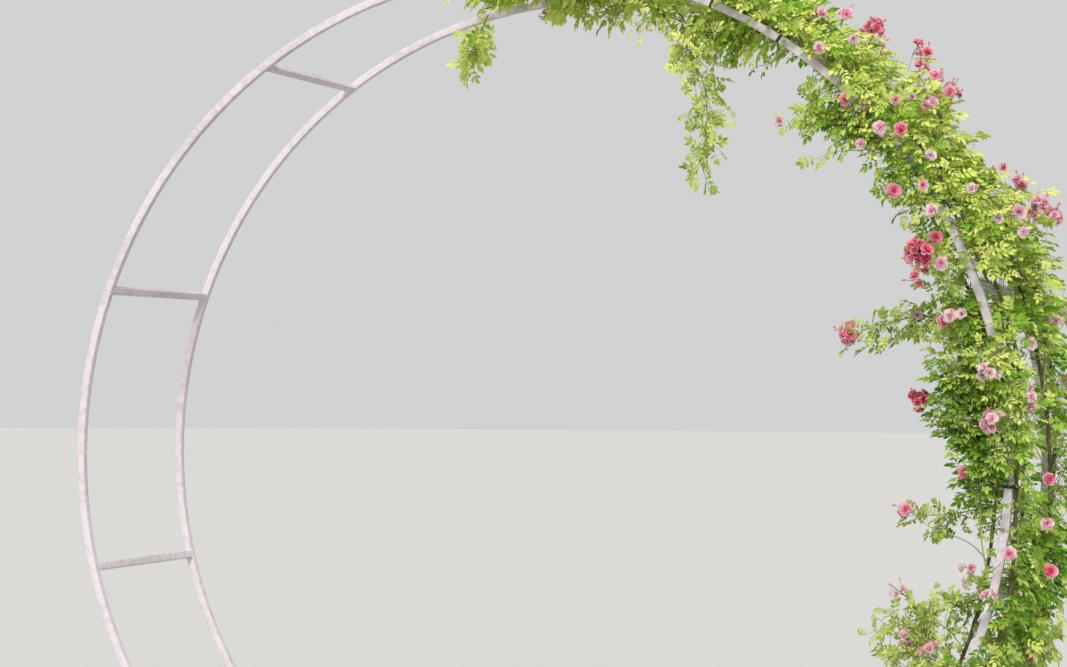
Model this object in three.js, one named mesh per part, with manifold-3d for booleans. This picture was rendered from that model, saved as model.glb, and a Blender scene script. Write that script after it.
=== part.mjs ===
// A round garden arch with climbing roses: two rings of square steel tube joined by crossbars,
// and the roses that climb the right half of it.
// Millimetres, +Z up, the ground at Z = 0, the front of the arch towards -Y.
import * as THREE from 'three';
import { mergeVertices } from 'three/addons/utils/BufferGeometryUtils.js';
import Module from 'manifold-3d';

const wasm = await Module();
wasm.setup();

// Steel frame
const RING_RADIUS = 1524; // to the middle of the tube
const TUBE = 25.4;
const TUBE_CORNER = 3;
const RING_SPACING = 698.5; // from the middle of one ring to the middle of the other
const BAY_ANGLE = 34.8; // degrees between crossbars
const BAYS_A_SIDE = 4; // from the top down to the ground
const SECTIONS_A_SIDE = 2; // welded lengths of tube, each two bays long
const WELD_GAP = 0.3;
const STEPS_A_BAY = 8;

// Roses
const LEAF_CLEARANCE = 0.4; // between the foliage and what it grows round
const CANE_RADIUS = 7;
const CANE_SIDES = 6;
const CANE_SEAT_GAP = 2.5; // between a tied cane and the ring
const FOLIAGE_START = -45; // degrees above the level of the ring's middle
const FOLIAGE_END = 111;
const FOLIAGE_PIECES = 8;
const FIRST_ROW = -33; // the lumps' middles, in degrees
const LAST_ROW = 93;
const LUMP_ANGLE = 9; // degrees between one row of lumps and the next
const LUMP_LENGTH = 185; // half of it, along the ring
const LUMP_JITTER = { radial: 26, across: 24, size: 0.14 };
const SPRAY_RADIUS = 26;
const SPRAY_END_ROOM = 2;

// Black ties
const TIE_WIDTH = 14;
const TIE_THICKNESS = 2;
const TIE_SLACK = { radial: 1.6, across: 0.3 };

// The foot crossbars lie flat on the ground, which puts the ring's middle at this height.
const FOOT_ANGLE = 90 - BAY_ANGLE * BAYS_A_SIDE;
const CENTRE_HEIGHT = -RING_RADIUS * Math.sin(THREE.MathUtils.degToRad(FOOT_ANGLE)) + TUBE / 2;
const FRONT = -RING_SPACING / 2;
const BACK = RING_SPACING / 2;
const BURIED_ANGLE = 3; // a ring is drawn this far past its foot, and the ground cuts it off
const GROUND_SIZE = { across: 6000, deep: 1000 };

const PAINT = { color: 0xd9d3d4, roughness: 0.5, metalness: 0.1 };
const LEAF = { color: 0x86a84a, roughness: 0.7, metalness: 0 };
const BARK = { color: 0x5d5a38, roughness: 0.85, metalness: 0 };
const PETAL = { color: 0xdb5f8f, roughness: 0.6, metalness: 0 };
const TIE = { color: 0x1c1c1e, roughness: 0.6, metalness: 0 };

const arch = new THREE.Group();

function addPart(name, geometry, material) {
  const mesh = new THREE.Mesh(geometry, new THREE.MeshStandardMaterial(material));
  mesh.name = name;
  arch.add(mesh);
  return mesh;
}

// A place on the arch: degrees round the ring from the right, distance outside the ring's middle line,
// and distance from front to back.
function place(degrees, outside, y) {
  const angle = THREE.MathUtils.degToRad(degrees);
  const radius = RING_RADIUS + outside;
  return new THREE.Vector3(radius * Math.cos(angle), y, CENTRE_HEIGHT + radius * Math.sin(angle));
}

// A smooth path through stops of [degrees, outside, y].
class ArchPath extends THREE.Curve {
  constructor(stops) {
    super();
    this.route = new THREE.CatmullRomCurve3(stops.map((stop) => new THREE.Vector3(...stop)));
  }

  getPoint(t, target = new THREE.Vector3()) {
    const { x, y, z } = this.route.getPoint(t);
    return target.copy(place(x, y, z));
  }
}

// Booleans
function toSolid(geometry) {
  const bare = geometry.clone();
  bare.deleteAttribute('normal');
  bare.deleteAttribute('uv');
  const merged = mergeVertices(bare, 1e-3);
  return new wasm.Manifold(new wasm.Mesh({
    numProp: 3,
    vertProperties: new Float32Array(merged.attributes.position.array),
    triVerts: new Uint32Array(merged.index.array),
  }));
}

function toGeometry(solid) {
  const { vertProperties, triVerts } = solid.getMesh();
  const geometry = new THREE.BufferGeometry();
  geometry.setAttribute('position', new THREE.BufferAttribute(vertProperties, 3));
  geometry.setIndex(new THREE.BufferAttribute(triVerts, 1));
  return geometry;
}

function join(solids) {
  return solids.reduce((whole, solid) => whole.add(solid));
}

// What is left of a solid in one piece, without crumbs that a cut left over.
function largestPiece(solid) {
  return solid.decompose().reduce((best, piece) => (piece.volume() > best.volume() ? piece : best));
}

const groundBox = new THREE.BoxGeometry(GROUND_SIZE.across, GROUND_SIZE.across, GROUND_SIZE.deep);
const ground = toSolid(groundBox.translate(0, 0, -GROUND_SIZE.deep / 2));

// Square tube with its corners taken off, standing round its own middle.
function tubeOutline(size, corner) {
  const half = size / 2;
  const inner = half - corner;
  return new THREE.Shape([
    [half, -inner], [half, inner], [inner, half], [-inner, half],
    [-half, inner], [-half, -inner], [-inner, -half], [inner, -half],
  ].map(([x, y]) => new THREE.Vector2(x, y)));
}

function roundOutline(radius, sides) {
  const turn = (2 * Math.PI) / sides;
  return new THREE.Shape(Array.from({ length: sides }, (_, i) => (
    new THREE.Vector2(radius * Math.cos(i * turn), radius * Math.sin(i * turn))
  )));
}

// The square that a round outline of this radius fits in.
function squareOutline(radius) {
  return new THREE.Shape([
    [radius, -radius], [radius, radius], [-radius, radius], [-radius, -radius],
  ].map(([x, y]) => new THREE.Vector2(x, y)));
}

function sweep(outline, path, steps) {
  return new THREE.ExtrudeGeometry(outline, { extrudePath: path, steps, bevelEnabled: false });
}

function ringSection(outline, from, to, y) {
  const steps = Math.ceil((Math.abs(to - from) / BAY_ANGLE) * STEPS_A_BAY);
  return sweep(outline, new ArchPath([[from, 0, y], [(from + to) / 2, 0, y], [to, 0, y]]), steps);
}

// Rings
const TOP = 90;
const GAP_ANGLE = THREE.MathUtils.radToDeg(WELD_GAP / RING_RADIUS);
const SECTION_ANGLE = (BAY_ANGLE * BAYS_A_SIDE) / SECTIONS_A_SIDE;
const tube = tubeOutline(TUBE, TUBE_CORNER);

// The two ends of a section, in degrees: sign is 1 on the right, and index counts down from the top.
function sectionEnds(sign, index, gap) {
  const isFoot = index === SECTIONS_A_SIDE - 1;
  const reach = isFoot ? TOP - FOOT_ANGLE + BURIED_ANGLE : (index + 1) * SECTION_ANGLE - gap / 2;
  return [TOP - sign * (index * SECTION_ANGLE + gap / 2), TOP - sign * reach];
}

for (const [ring, y] of [['front_ring', FRONT], ['back_ring', BACK]]) {
  for (const [side, sign] of [['right', 1], ['left', -1]]) {
    for (const [level, index] of [['upper', 0], ['lower', 1]]) {
      const section = ringSection(tube, ...sectionEnds(sign, index, GAP_ANGLE), y);
      addPart(`${ring}_${side}_${level}`, toGeometry(toSolid(section).subtract(ground)), PAINT);
    }
  }
}

// Crossbars
const BAR_LENGTH = RING_SPACING - TUBE - 2 * WELD_GAP;

function crossbar(size, length) {
  const outline = tubeOutline(size, TUBE_CORNER);
  const bar = new THREE.ExtrudeGeometry(outline, { depth: length, bevelEnabled: false });
  bar.translate(0, 0, -length / 2);
  bar.rotateX(Math.PI / 2);
  return bar;
}

for (let bay = -BAYS_A_SIDE; bay <= BAYS_A_SIDE; bay++) {
  const degrees = TOP - bay * BAY_ANGLE;
  const isFoot = Math.abs(bay) === BAYS_A_SIDE;
  const side = bay > 0 ? 'right' : 'left';
  const name = bay === 0 ? 'crossbar_top' : `crossbar_${side}_${Math.abs(bay)}`;
  const bar = addPart(isFoot ? `foot_crossbar_${side}` : name, crossbar(TUBE, BAR_LENGTH), PAINT);
  bar.position.copy(place(degrees, 0, 0));
  bar.rotation.y = isFoot ? 0 : -THREE.MathUtils.degToRad(degrees);
}

// Canes: each stop is [degrees, outside, y], and each tie holds the cane to a ring at one of its stops.
const SEATED = TUBE / 2 + CANE_RADIUS + CANE_SEAT_GAP;
const CANES = {
  front_outer: [[-52, 190, -300], [-44, 120, -330], [-33, SEATED, FRONT], [-18, 50, -325],
    [-2, SEATED, FRONT], [14, 52, -320], [30, 44, -335], [43, 50, -320], [57, SEATED, FRONT],
    [61.5, 26, FRONT], [66, SEATED, FRONT], [80, 40, -330]],
  middle_outer: [[-52, 230, -60], [-43, 150, -40], [-28, 70, -90], [-8, 60, 60], [12, 70, -60],
    [33, 62, 80], [52, 70, -40], [74, 60, 90], [92, 50, 150]],
  back_outer: [[-52, 170, 320], [-44, 100, 335], [-34, SEATED, BACK], [-18, 48, 320],
    [-4, SEATED, BACK], [16, 50, 325], [40, SEATED, BACK], [60, 46, 325], [84, SEATED, BACK],
    [92, 30, 340], [104, 30, 345]],
  back_inner: [[-56, -80, 200], [-44, -60, 240], [-24, -SEATED, 330], [-6, -50, 250], [14, -44, 160],
    [34, -50, 230], [54, -44, 180]],
  front_inner: [[-56, -70, -150], [-45, -50, -190], [-25, -40, -240], [-5, -60, -200], [10, -42, -120],
    [27, -60, -180], [44, -42, -230]],
};
const CANE_STEP = 5; // degrees

const caneRoom = [];
for (const [name, stops] of Object.entries(CANES)) {
  const path = new ArchPath(stops);
  const steps = Math.round((stops.at(-1)[0] - stops[0][0]) / CANE_STEP);
  const cane = toSolid(sweep(roundOutline(CANE_RADIUS, CANE_SIDES), path, steps)).subtract(ground);
  caneRoom.push(toSolid(sweep(squareOutline(CANE_RADIUS + LEAF_CLEARANCE), path, steps)));
  addPart(`cane_${name}`, toGeometry(cane), BARK);
}

// Ties: a flat loop round the ring's tube and the cane beside it.
const TIES = [
  ['tie_front_low', -33, FRONT], ['tie_front_middle', -2, FRONT], ['tie_front_high', 57, FRONT],
  ['tie_front_top', 66, FRONT], ['tie_back_low', -34, BACK], ['tie_back_middle', -4, BACK],
  ['tie_back_high', 40, BACK], ['tie_back_top', 84, BACK],
];

function tieBlock(grow) {
  const low = -TUBE / 2 - TIE_SLACK.radial - grow;
  const high = SEATED + CANE_RADIUS + TIE_SLACK.radial + grow;
  const wide = TUBE + 2 * (TIE_SLACK.across + grow);
  const block = new THREE.BoxGeometry(high - low, wide, TIE_WIDTH);
  block.translate((high + low) / 2, 0, 0);
  return block;
}

function atRing(geometry, degrees, y) {
  const { x, z } = place(degrees, 0, 0);
  return geometry.rotateY(-THREE.MathUtils.degToRad(degrees)).translate(x, y, z);
}

const tieRoom = [];
for (const [name, degrees, y] of TIES) {
  const outside = toSolid(atRing(tieBlock(TIE_THICKNESS), degrees, y));
  const hole = tieBlock(0).scale(1, 1, 2);
  addPart(name, toGeometry(outside.subtract(toSolid(atRing(hole, degrees, y)))), TIE);
  tieRoom.push(toSolid(atRing(tieBlock(TIE_THICKNESS + LEAF_CLEARANCE), degrees, y)));
}

// Room that the foliage leaves for the frame, the canes and the ties.
const roomOutline = squareOutline(TUBE / 2 + LEAF_CLEARANCE);
const frameRoom = [];
for (const y of [FRONT, BACK]) {
  for (const [sign, index] of [[1, 0], [1, 1], [-1, 0]]) {
    frameRoom.push(toSolid(ringSection(roomOutline, ...sectionEnds(sign, index, 0), y)));
  }
}
for (let bay = 0; bay < BAYS_A_SIDE; bay++) {
  const degrees = TOP - bay * BAY_ANGLE;
  frameRoom.push(toSolid(atRing(crossbar(TUBE + 2 * LEAF_CLEARANCE, RING_SPACING), degrees, 0)));
}

// Sprays that leave the foliage: hanging, or reaching into the opening.
const SPRAYS = {
  top_left: [[103.2, -5, 295], [106.3, -92, 300], [108.6, -176, 300]],
  hanging: [[75, -40, -250], [67, -180, -255], [59, -420, -260]],
  inner: [[17, -60, -250], [20, -230, -220], [21, -400, -200]],
  middle: [[-4, -35, -260], [-6, -180, -230], [-7.5, -330, -220]],
  low: [[-15, -40, -260], [-19, -170, -270], [-24, -300, -280]],
};
const SPRAY_STEPS = 6;
const SPRAY_SIDES = 6;

function spray(stops, radius) {
  return toSolid(sweep(roundOutline(radius, SPRAY_SIDES), new ArchPath(stops), SPRAY_STEPS));
}

// Rose clusters, each on a stalk that starts inside the foliage: [degrees, outside, y, radius].
const CLUSTERS = {
  high_outer: [50, 180, -260, 50],
  high_front: [39.5, 150, -385, 46],
  deep_pink: [25, -97, -455, 64],
  right_outer: [25.5, 222, -150, 56],
  inner_middle: [9, -265, -270, 46],
  front_middle: [5, -18, -475, 50],
  front_low: [-14, 5, -460, 44],
};
const SPRAY_END_CLUSTER = [21.2, -436, -200, 48];
const STALK = { radius: 5, sides: 5, lead: 4, inside: 35, across: 250 };

function lump(radial, across, along) {
  return new THREE.IcosahedronGeometry(1, 1).scale(radial, across, along);
}

function atPlace(geometry, degrees, outside, y) {
  const { x, z } = place(degrees, outside, y);
  return geometry.rotateY(-THREE.MathUtils.degToRad(degrees)).translate(x, y, z);
}

function cluster([degrees, outside, y, radius], grow) {
  const size = radius + grow;
  return toSolid(atPlace(lump(size, size, size), degrees, outside, y));
}

function stalk([degrees, outside, y], grow) {
  const root = [degrees + STALK.lead, Math.sign(outside) * STALK.inside, Math.sign(y) * STALK.across];
  const outline = roundOutline(STALK.radius + grow, STALK.sides);
  return toSolid(sweep(outline, new ArchPath([[degrees, outside, y], root]), 2));
}

// The foliage also stays clear of the end of the spray that starts inside it.
function sprayRoom(stops) {
  const [degrees, outside, y] = stops[0];
  const end = SPRAY_RADIUS + SPRAY_END_ROOM;
  const start = toSolid(atPlace(lump(end, end, end), degrees, outside, y));
  return spray(stops, SPRAY_RADIUS + LEAF_CLEARANCE).add(start);
}

const hard = join([...frameRoom, ...caneRoom, ...tieRoom]);
const sprays = Object.entries(SPRAYS).map(([name, stops]) => ({
  name,
  solid: spray(stops, SPRAY_RADIUS).subtract(hard),
  room: sprayRoom(stops),
}));
const clusters = Object.entries(CLUSTERS).map(([name, spot]) => ({
  name,
  solid: cluster(spot, 0).add(stalk(spot, 0)).subtract(hard),
  room: cluster(spot, LEAF_CLEARANCE).add(stalk(spot, LEAF_CLEARANCE)),
}));
clusters.push({
  name: 'spray_end',
  solid: cluster(SPRAY_END_CLUSTER, 0),
  room: cluster(SPRAY_END_CLUSTER, LEAF_CLEARANCE),
});
const clusterRoom = join(clusters.map(({ room }) => room));

for (const { name, solid } of clusters) {
  addPart(`roses_${name}`, toGeometry(largestPiece(solid)), PETAL);
}
for (const { name, solid } of sprays) {
  addPart(`spray_${name}`, toGeometry(largestPiece(solid.subtract(clusterRoom))), LEAF);
}

// Foliage: rows of overlapping lumps along the ring, with one lobe of leaves round each ring and one
// over the crossbars between them, half a step further on.
// A lobe is [degrees, outside, y, half its height, half its width].
const LOBES = [
  [0, 25, -290, 108, 128],
  [LUMP_ANGLE / 2, 68, 0, 84, 225],
  [0, 25, 285, 108, 128],
];

// How full the rows are, from [degrees, share of the full size].
const FULLNESS = [
  [-33, 1], [-12, 0.86], [5, 1], [44, 1], [57, 0.9], [66, 1], [84, 0.92], [98, 0.85],
];

// Masses that stand out from the rows, as [degrees, outside, y, and half the height, width and length].
const SWELLS = [
  [101, 18, 285, 82, 100, 115],
  [86, -45, 245, 62, 110, 220],
  [65, -80, -275, 85, 95, 150],
  [45, 132, -290, 92, 115, 220],
  [44, -92, -330, 85, 85, 115],
  [35, -60, -370, 78, 75, 150],
  [26, 142, -190, 90, 125, 200],
  [17, -75, -325, 85, 85, 120],
  [9, -125, -320, 140, 100, 185],
  [1, -72, -335, 85, 85, 115],
  [-24, -140, -320, 130, 100, 150],
  [-33, -120, -280, 130, 100, 125],
];
const FIRST_SEED = { size: 1, radial: 101, across: 201 };

function fullness(degrees) {
  const last = FULLNESS.findIndex(([end]) => end >= degrees);
  if (last === -1) return FULLNESS.at(-1)[1];
  if (last === 0) return FULLNESS[0][1];
  const [[from, low], [to, high]] = FULLNESS.slice(last - 1, last + 1);
  return THREE.MathUtils.mapLinear(degrees, from, to, low, high);
}

// A number from -1 to 1 that looks random, and is the same for the same seed.
function jitter(seed) {
  const value = Math.sin(seed * 12.9898) * 43758.5453;
  return 2 * (value - Math.floor(value)) - 1;
}

function lumpRow(row) {
  return LOBES.map(([shift, outside, y, height, width], index) => {
    const degrees = FIRST_ROW + row * LUMP_ANGLE + shift;
    const turn = row * LOBES.length + index;
    const size = fullness(degrees) * (1 + LUMP_JITTER.size * jitter(FIRST_SEED.size + turn));
    const shape = lump(height * size, width, LUMP_LENGTH * size);
    const radial = outside + LUMP_JITTER.radial * jitter(FIRST_SEED.radial + turn);
    const across = y + LUMP_JITTER.across * jitter(FIRST_SEED.across + turn);
    return toSolid(atPlace(shape, degrees, radial, across));
  });
}

function wedge(from, to) {
  const far = 2 * RING_RADIUS;
  const corner = (degrees) => {
    const angle = THREE.MathUtils.degToRad(degrees);
    return new THREE.Vector2(far * Math.cos(angle), far * Math.sin(angle));
  };
  const outline = new THREE.Shape([new THREE.Vector2(0, 0), corner(from), corner(to)]);
  const block = new THREE.ExtrudeGeometry(outline, { depth: far, bevelEnabled: false });
  return toSolid(block.translate(0, 0, -far / 2).rotateX(Math.PI / 2).translate(0, 0, CENTRE_HEIGHT));
}

const rows = Math.round((LAST_ROW - FIRST_ROW) / LUMP_ANGLE) + 1;
const swells = SWELLS.map(([degrees, outside, y, ...size]) => (
  toSolid(atPlace(lump(...size), degrees, outside, y))
));
const foliage = join([...Array.from({ length: rows }, (_, row) => lumpRow(row)).flat(), ...swells])
  .subtract(hard)
  .subtract(clusterRoom)
  .subtract(join(sprays.map(({ room }) => room)));
const PIECE_ANGLE = (FOLIAGE_END - FOLIAGE_START) / FOLIAGE_PIECES;
for (let piece = 0; piece < FOLIAGE_PIECES; piece++) {
  const from = FOLIAGE_START + piece * PIECE_ANGLE;
  const part = foliage.intersect(wedge(from + GAP_ANGLE, from + PIECE_ANGLE));
  addPart(`foliage_${piece + 1}`, toGeometry(largestPiece(part)), LEAF);
}

// The origin is on the ground under the middle of the whole arch.
const bounds = new THREE.Box3().setFromObject(arch);
arch.position.x = -(bounds.min.x + bounds.max.x) / 2;
arch.position.y = -(bounds.min.y + bounds.max.y) / 2;

export default arch;
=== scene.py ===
# %% [markdown]
# A round garden arch with climbing roses
#
# The real thing is two rings of square steel tube, painted pale grey and joined by crossbars.
# Climbing roses are tied to its right half. The frame comes from the CAD model, and this lesson
# gives it smooth tubes, welds and paint, and grows the roses round it: canes, shoots, leaves and
# blooms. Everything is in metres, with the ground at Z = 0 and the front of the arch towards -Y.

# %% Load the frame
import math
import random
from contextlib import contextmanager

import bmesh
import bpy
from mathutils import Matrix, Vector
from mathutils.noise import noise_vector, seed_set


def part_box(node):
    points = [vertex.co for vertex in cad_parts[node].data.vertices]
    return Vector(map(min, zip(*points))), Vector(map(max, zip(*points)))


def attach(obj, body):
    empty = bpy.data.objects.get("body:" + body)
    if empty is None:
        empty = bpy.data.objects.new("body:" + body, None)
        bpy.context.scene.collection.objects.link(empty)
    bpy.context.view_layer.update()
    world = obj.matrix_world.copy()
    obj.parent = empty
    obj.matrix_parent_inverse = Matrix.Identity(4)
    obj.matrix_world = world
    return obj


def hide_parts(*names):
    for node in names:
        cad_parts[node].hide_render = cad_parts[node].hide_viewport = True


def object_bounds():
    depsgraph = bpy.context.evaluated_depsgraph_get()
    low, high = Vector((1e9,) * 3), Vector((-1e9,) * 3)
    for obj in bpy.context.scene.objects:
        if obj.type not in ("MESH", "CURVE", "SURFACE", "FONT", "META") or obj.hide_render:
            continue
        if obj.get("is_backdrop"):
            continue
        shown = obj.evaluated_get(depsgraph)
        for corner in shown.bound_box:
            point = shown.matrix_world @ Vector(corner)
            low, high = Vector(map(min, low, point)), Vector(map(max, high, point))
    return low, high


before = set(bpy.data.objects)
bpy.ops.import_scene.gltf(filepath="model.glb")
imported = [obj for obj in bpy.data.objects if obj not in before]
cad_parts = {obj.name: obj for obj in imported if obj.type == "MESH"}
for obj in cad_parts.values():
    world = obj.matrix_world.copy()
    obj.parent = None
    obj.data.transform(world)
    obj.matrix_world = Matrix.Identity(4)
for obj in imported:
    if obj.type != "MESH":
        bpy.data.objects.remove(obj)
cad_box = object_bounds()
print("The CAD model spans", [tuple(round(v, 3) for v in corner) for corner in cad_box])

# %% [markdown]
# Every piece of this arch is easier to place by its angle round the ring than by X and Z. So the
# dimensions of the frame come first, read from the CAD model where it has them, and then one
# function turns an angle, a distance outside the ring and a depth into a point.

# %% Places on the arch
MM = 0.001
RADIUS = 1.524  # from the ring's middle to the middle of its tube
BAY_ANGLE = 34.8  # degrees from one crossbar to the next
BAYS_A_SIDE = 4
SECTION_BAYS = 2  # a welded length of tube is two bays long
TUBE_CORNER = 3 * MM
TOP = 90

bar_low, bar_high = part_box("crossbar_top")
ring_low, ring_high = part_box("front_ring_left_upper")
TUBE = bar_high.z - bar_low.z
CENTRE = (bar_low + bar_high) / 2 - Vector((0, 0, RADIUS))
FRONT = (ring_low.y + ring_high.y) / 2 - CENTRE.y
BACK = -FRONT
print(f"The tube is {TUBE / MM:.1f} mm, and the rings' middle is {CENTRE.z:.3f} m above the ground")


def outward(degrees):
    """The direction away from the ring's middle at this angle."""
    angle = math.radians(degrees)
    return Vector((math.cos(angle), 0, math.sin(angle)))


def onward(degrees):
    """The direction along the ring, from the right foot up and over."""
    return outward(degrees + 90)


def place(degrees, outside, depth):
    """A point on the arch: degrees from the right, and metres outside the ring and to the back."""
    return CENTRE + outward(degrees) * (RADIUS + outside) + Vector((0, depth, 0))


def where(point):
    """The other way round: the angle, the distance outside the ring and the depth of a point."""
    x, y, z = point - CENTRE
    return math.degrees(math.atan2(z, x)), math.hypot(x, z) - RADIUS, y


# %% [markdown]
# The camera stands where the photograph was taken from, to the right of the middle and 1.4 m up.
# Its place was found by fitting the two rings and the crossbars to their edges in the photograph.

# %% The camera
PHOTO_WIDTH = 1067
FOCAL_PIXELS = 2676.2
SENSOR = 36
EYE = CENTRE + Vector((2.8244, FRONT - TUBE / 2 - 7.8051, 0.2659))
TURN, TILT, ROLL = 19.533, 0.864, 0.399  # degrees to the left, up and anticlockwise


def add_object(name, data):
    """An object in the scene with this data."""
    made = bpy.data.objects.new(name, data)
    bpy.context.scene.collection.objects.link(made)
    return made


camera_data = bpy.data.cameras.new("camera")
camera_data.sensor_width = SENSOR
camera_data.lens = FOCAL_PIXELS / PHOTO_WIDTH * SENSOR
camera = add_object("camera", camera_data)
camera.matrix_world = (
    Matrix.Translation(EYE)
    @ Matrix.Rotation(math.radians(TURN), 4, "Z")
    @ Matrix.Rotation(math.radians(90 + TILT), 4, "X")
    @ Matrix.Rotation(math.radians(ROLL), 4, "Z")
)
bpy.context.scene.camera = camera
print(f"The lens is {camera_data.lens:.1f} mm, and the eye is {EYE.z:.2f} m above the ground")

# %% [markdown]
# Node trees get long when each node and link is a line of its own. Here a tree is written like a
# sum: Wire is a socket that adds a Math node when it meets an operator, and Graph.node makes any
# other node from its type, its settings and the values of its sockets. Shader trees and geometry
# trees share both.

# %% A short way to write node trees
class Wire:
    """A node's output. Arithmetic on it adds Math nodes."""

    def __init__(self, graph, socket):
        self.graph, self.socket = graph, socket

    def maths(self, operation, *values):
        return self.graph.node("ShaderNodeMath", {"operation": operation}, dict(enumerate(values)))

    def __add__(self, other):
        return self.maths("ADD", self, other)

    def __sub__(self, other):
        return self.maths("SUBTRACT", self, other)

    def __rsub__(self, other):
        return self.maths("SUBTRACT", other, self)

    def __mul__(self, other):
        return self.maths("MULTIPLY", self, other)

    def __truediv__(self, other):
        return self.maths("DIVIDE", self, other)

    def __pow__(self, other):
        return self.maths("POWER", self, other)

    __radd__, __rmul__ = __add__, __mul__


class Graph:
    """A node tree that is written as expressions."""

    def __init__(self, tree):
        self.tree = tree

    def find(self, sockets, name):
        if isinstance(name, int):
            return sockets[name]
        return next(socket for socket in sockets if socket.enabled and name in (None, socket.name))

    def node(self, kind, settings=None, values=None, out=None):
        made = self.tree.nodes.new(kind)
        for name, value in (settings or {}).items():
            if name == "stops":
                self.set_stops(made.color_ramp, value)
            else:
                setattr(made, name, value)
        for name, value in (values or {}).items():
            target = self.find(made.inputs, name)
            for part in value if isinstance(value, list) else [value]:
                if isinstance(part, Wire):
                    self.tree.links.new(part.socket, target)
                else:
                    target.default_value = part
        return Wire(self, self.find(made.outputs, out))

    def set_stops(self, ramp, stops):
        while len(ramp.elements) < len(stops):
            ramp.elements.new(0.5)
        for element, (position, shade) in zip(ramp.elements, stops):
            element.position = position
            element.color = shade


# %% [markdown]
# Most materials of this arch need the same few things: a noise, a soft threshold, a blend of two
# colours, and an attribute that the geometry carries. They come next, with the function that
# builds a material. What is the same all over a surface is set on the shader itself, and what
# changes is linked.

# %% Shader helpers
class Shades(Graph):
    """A shader tree with the usual pieces by name."""

    def attribute(self, name, out="Fac"):
        return self.node("ShaderNodeAttribute", {"attribute_name": name}, out=out)

    def split(self, vector):
        return [self.node("ShaderNodeSeparateXYZ", {}, {"Vector": vector}, out) for out in range(3)]

    def stretched(self, scale):
        place_wire = self.node("ShaderNodeTexCoord", out="Object")
        return self.node("ShaderNodeMapping", {}, {"Vector": place_wire, "Scale": scale})

    def noise(self, scale, detail=3.0, stretch=(1, 1, 1)):
        values = {"Vector": self.stretched(stretch), "Scale": scale, "Detail": detail}
        return self.node("ShaderNodeTexNoise", {}, values)

    def band(self, value, low, high):
        """0 below low, 1 above high, and smooth between them."""
        values = {"Value": value, "From Min": low, "From Max": high}
        return self.node("ShaderNodeMapRange", {"interpolation_type": "SMOOTHSTEP"}, values)

    def mix(self, factor, a, b):
        return self.node("ShaderNodeMix", {"data_type": "RGBA"}, {"Factor": factor, "A": a, "B": b})

    def bump(self, height, strength, distance):
        values = {"Height": height, "Strength": strength, "Distance": distance}
        return self.node("ShaderNodeBump", {}, values)


def shade(red, green, blue):
    """A colour as it looks on a screen, 0 to 255, turned into the light values that shaders use."""
    def light(value):
        share = value / 255
        return share / 12.92 if share <= 0.04045 else ((share + 0.055) / 1.055) ** 2.4
    return (light(red), light(green), light(blue), 1)


def material(name, recipe, **constants):
    """A material. Its recipe gives what changes over the surface, and the constants are set."""
    made = bpy.data.materials.new(name)
    made.use_nodes = True
    shades = Shades(made.node_tree)
    shader = made.node_tree.nodes["Principled BSDF"]
    for socket, value in {**constants, **recipe(shades)}.items():
        target = shader.inputs[socket.replace("_", " ")]
        if isinstance(value, Wire):
            made.node_tree.links.new(value.socket, target)
        else:
            target.default_value = value
    print("Material", name, "has", len(made.node_tree.nodes), "nodes")
    return made


# %% [markdown]
# The paint is a pale lavender grey, a little chalky and mottled, as paint gets outdoors. Rust
# shows only as pinpricks, most of them near the ground, where the tube also gets a little earth
# on it.

# %% Paint
def paint_recipe(s):
    mottle = s.noise(48, 4)
    clouds = s.noise(3.5, 4)
    dusty = s.band(mottle * 0.6 + clouds * 0.5, 0.46, 0.68)
    height = s.split(s.stretched((1, 1, 1)))[2]
    low_down = 1 - s.band(height, 0.05, 0.9)
    pricks = s.band(s.noise(190, 2), 0.69, 0.73) * s.band(clouds + low_down * 0.25, 0.55, 0.75)
    colour = s.mix(dusty * 0.6, shade(208, 198, 202), shade(178, 168, 170))
    colour = s.mix(low_down * s.band(clouds, 0.4, 0.7) * 0.4, colour, shade(160, 148, 128))
    colour = s.mix(pricks * 0.8, colour, shade(140, 92, 66))
    grain = s.noise(420, 2)
    return {
        "Base Color": colour,
        "Roughness": 0.42 + dusty * 0.22 + pricks * 0.2,
        "Normal": s.bump(grain + mottle * 0.6, 0.25, 0.6 * MM),
    }


PAINT = material("chalky_paint", paint_recipe, Metallic=0.0, IOR=1.45)

# %% [markdown]
# Old canes are brown with a green cast, and this year's shoots are green with red tips. One
# material does both: each stem carries an attribute named young, which is 0 on old wood and 1 at
# a new tip.

# %% Bark and stems
def bark_recipe(s):
    young = s.attribute("young")
    patches = s.noise(24, 4, (1, 1, 0.35))
    fibres = s.noise(1, 3, (420, 420, 40))
    old_wood = s.mix(s.band(patches, 0.35, 0.68), shade(68, 54, 34), shade(96, 90, 50))
    old_wood = s.mix(s.band(fibres, 0.45, 0.8) * 0.5, old_wood, shade(132, 118, 86))
    green = s.mix(s.band(patches, 0.3, 0.7), shade(120, 140, 58), shade(160, 172, 80))
    colour = s.mix(s.band(young, 0.05, 0.35), old_wood, green)
    colour = s.mix(s.band(young, 0.7, 1.0) * 0.7, colour, shade(168, 92, 62))
    return {
        "Base Color": colour,
        "Roughness": 0.75 - s.band(young, 0.05, 0.4) * 0.2,
        "Normal": s.bump(fibres, 0.5, 0.5 * MM),
    }


BARK = material("rose_bark", bark_recipe)

# %% [markdown]
# A rose leaf lets much light through, so the leaf material has some subsurface scattering, mostly
# green and a few millimetres deep. Each leaflet carries an attribute named blade: X runs from its
# stalk to its tip, and Y from its midrib to its edge. The veins are drawn with that, so they
# follow every leaflet.

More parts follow.
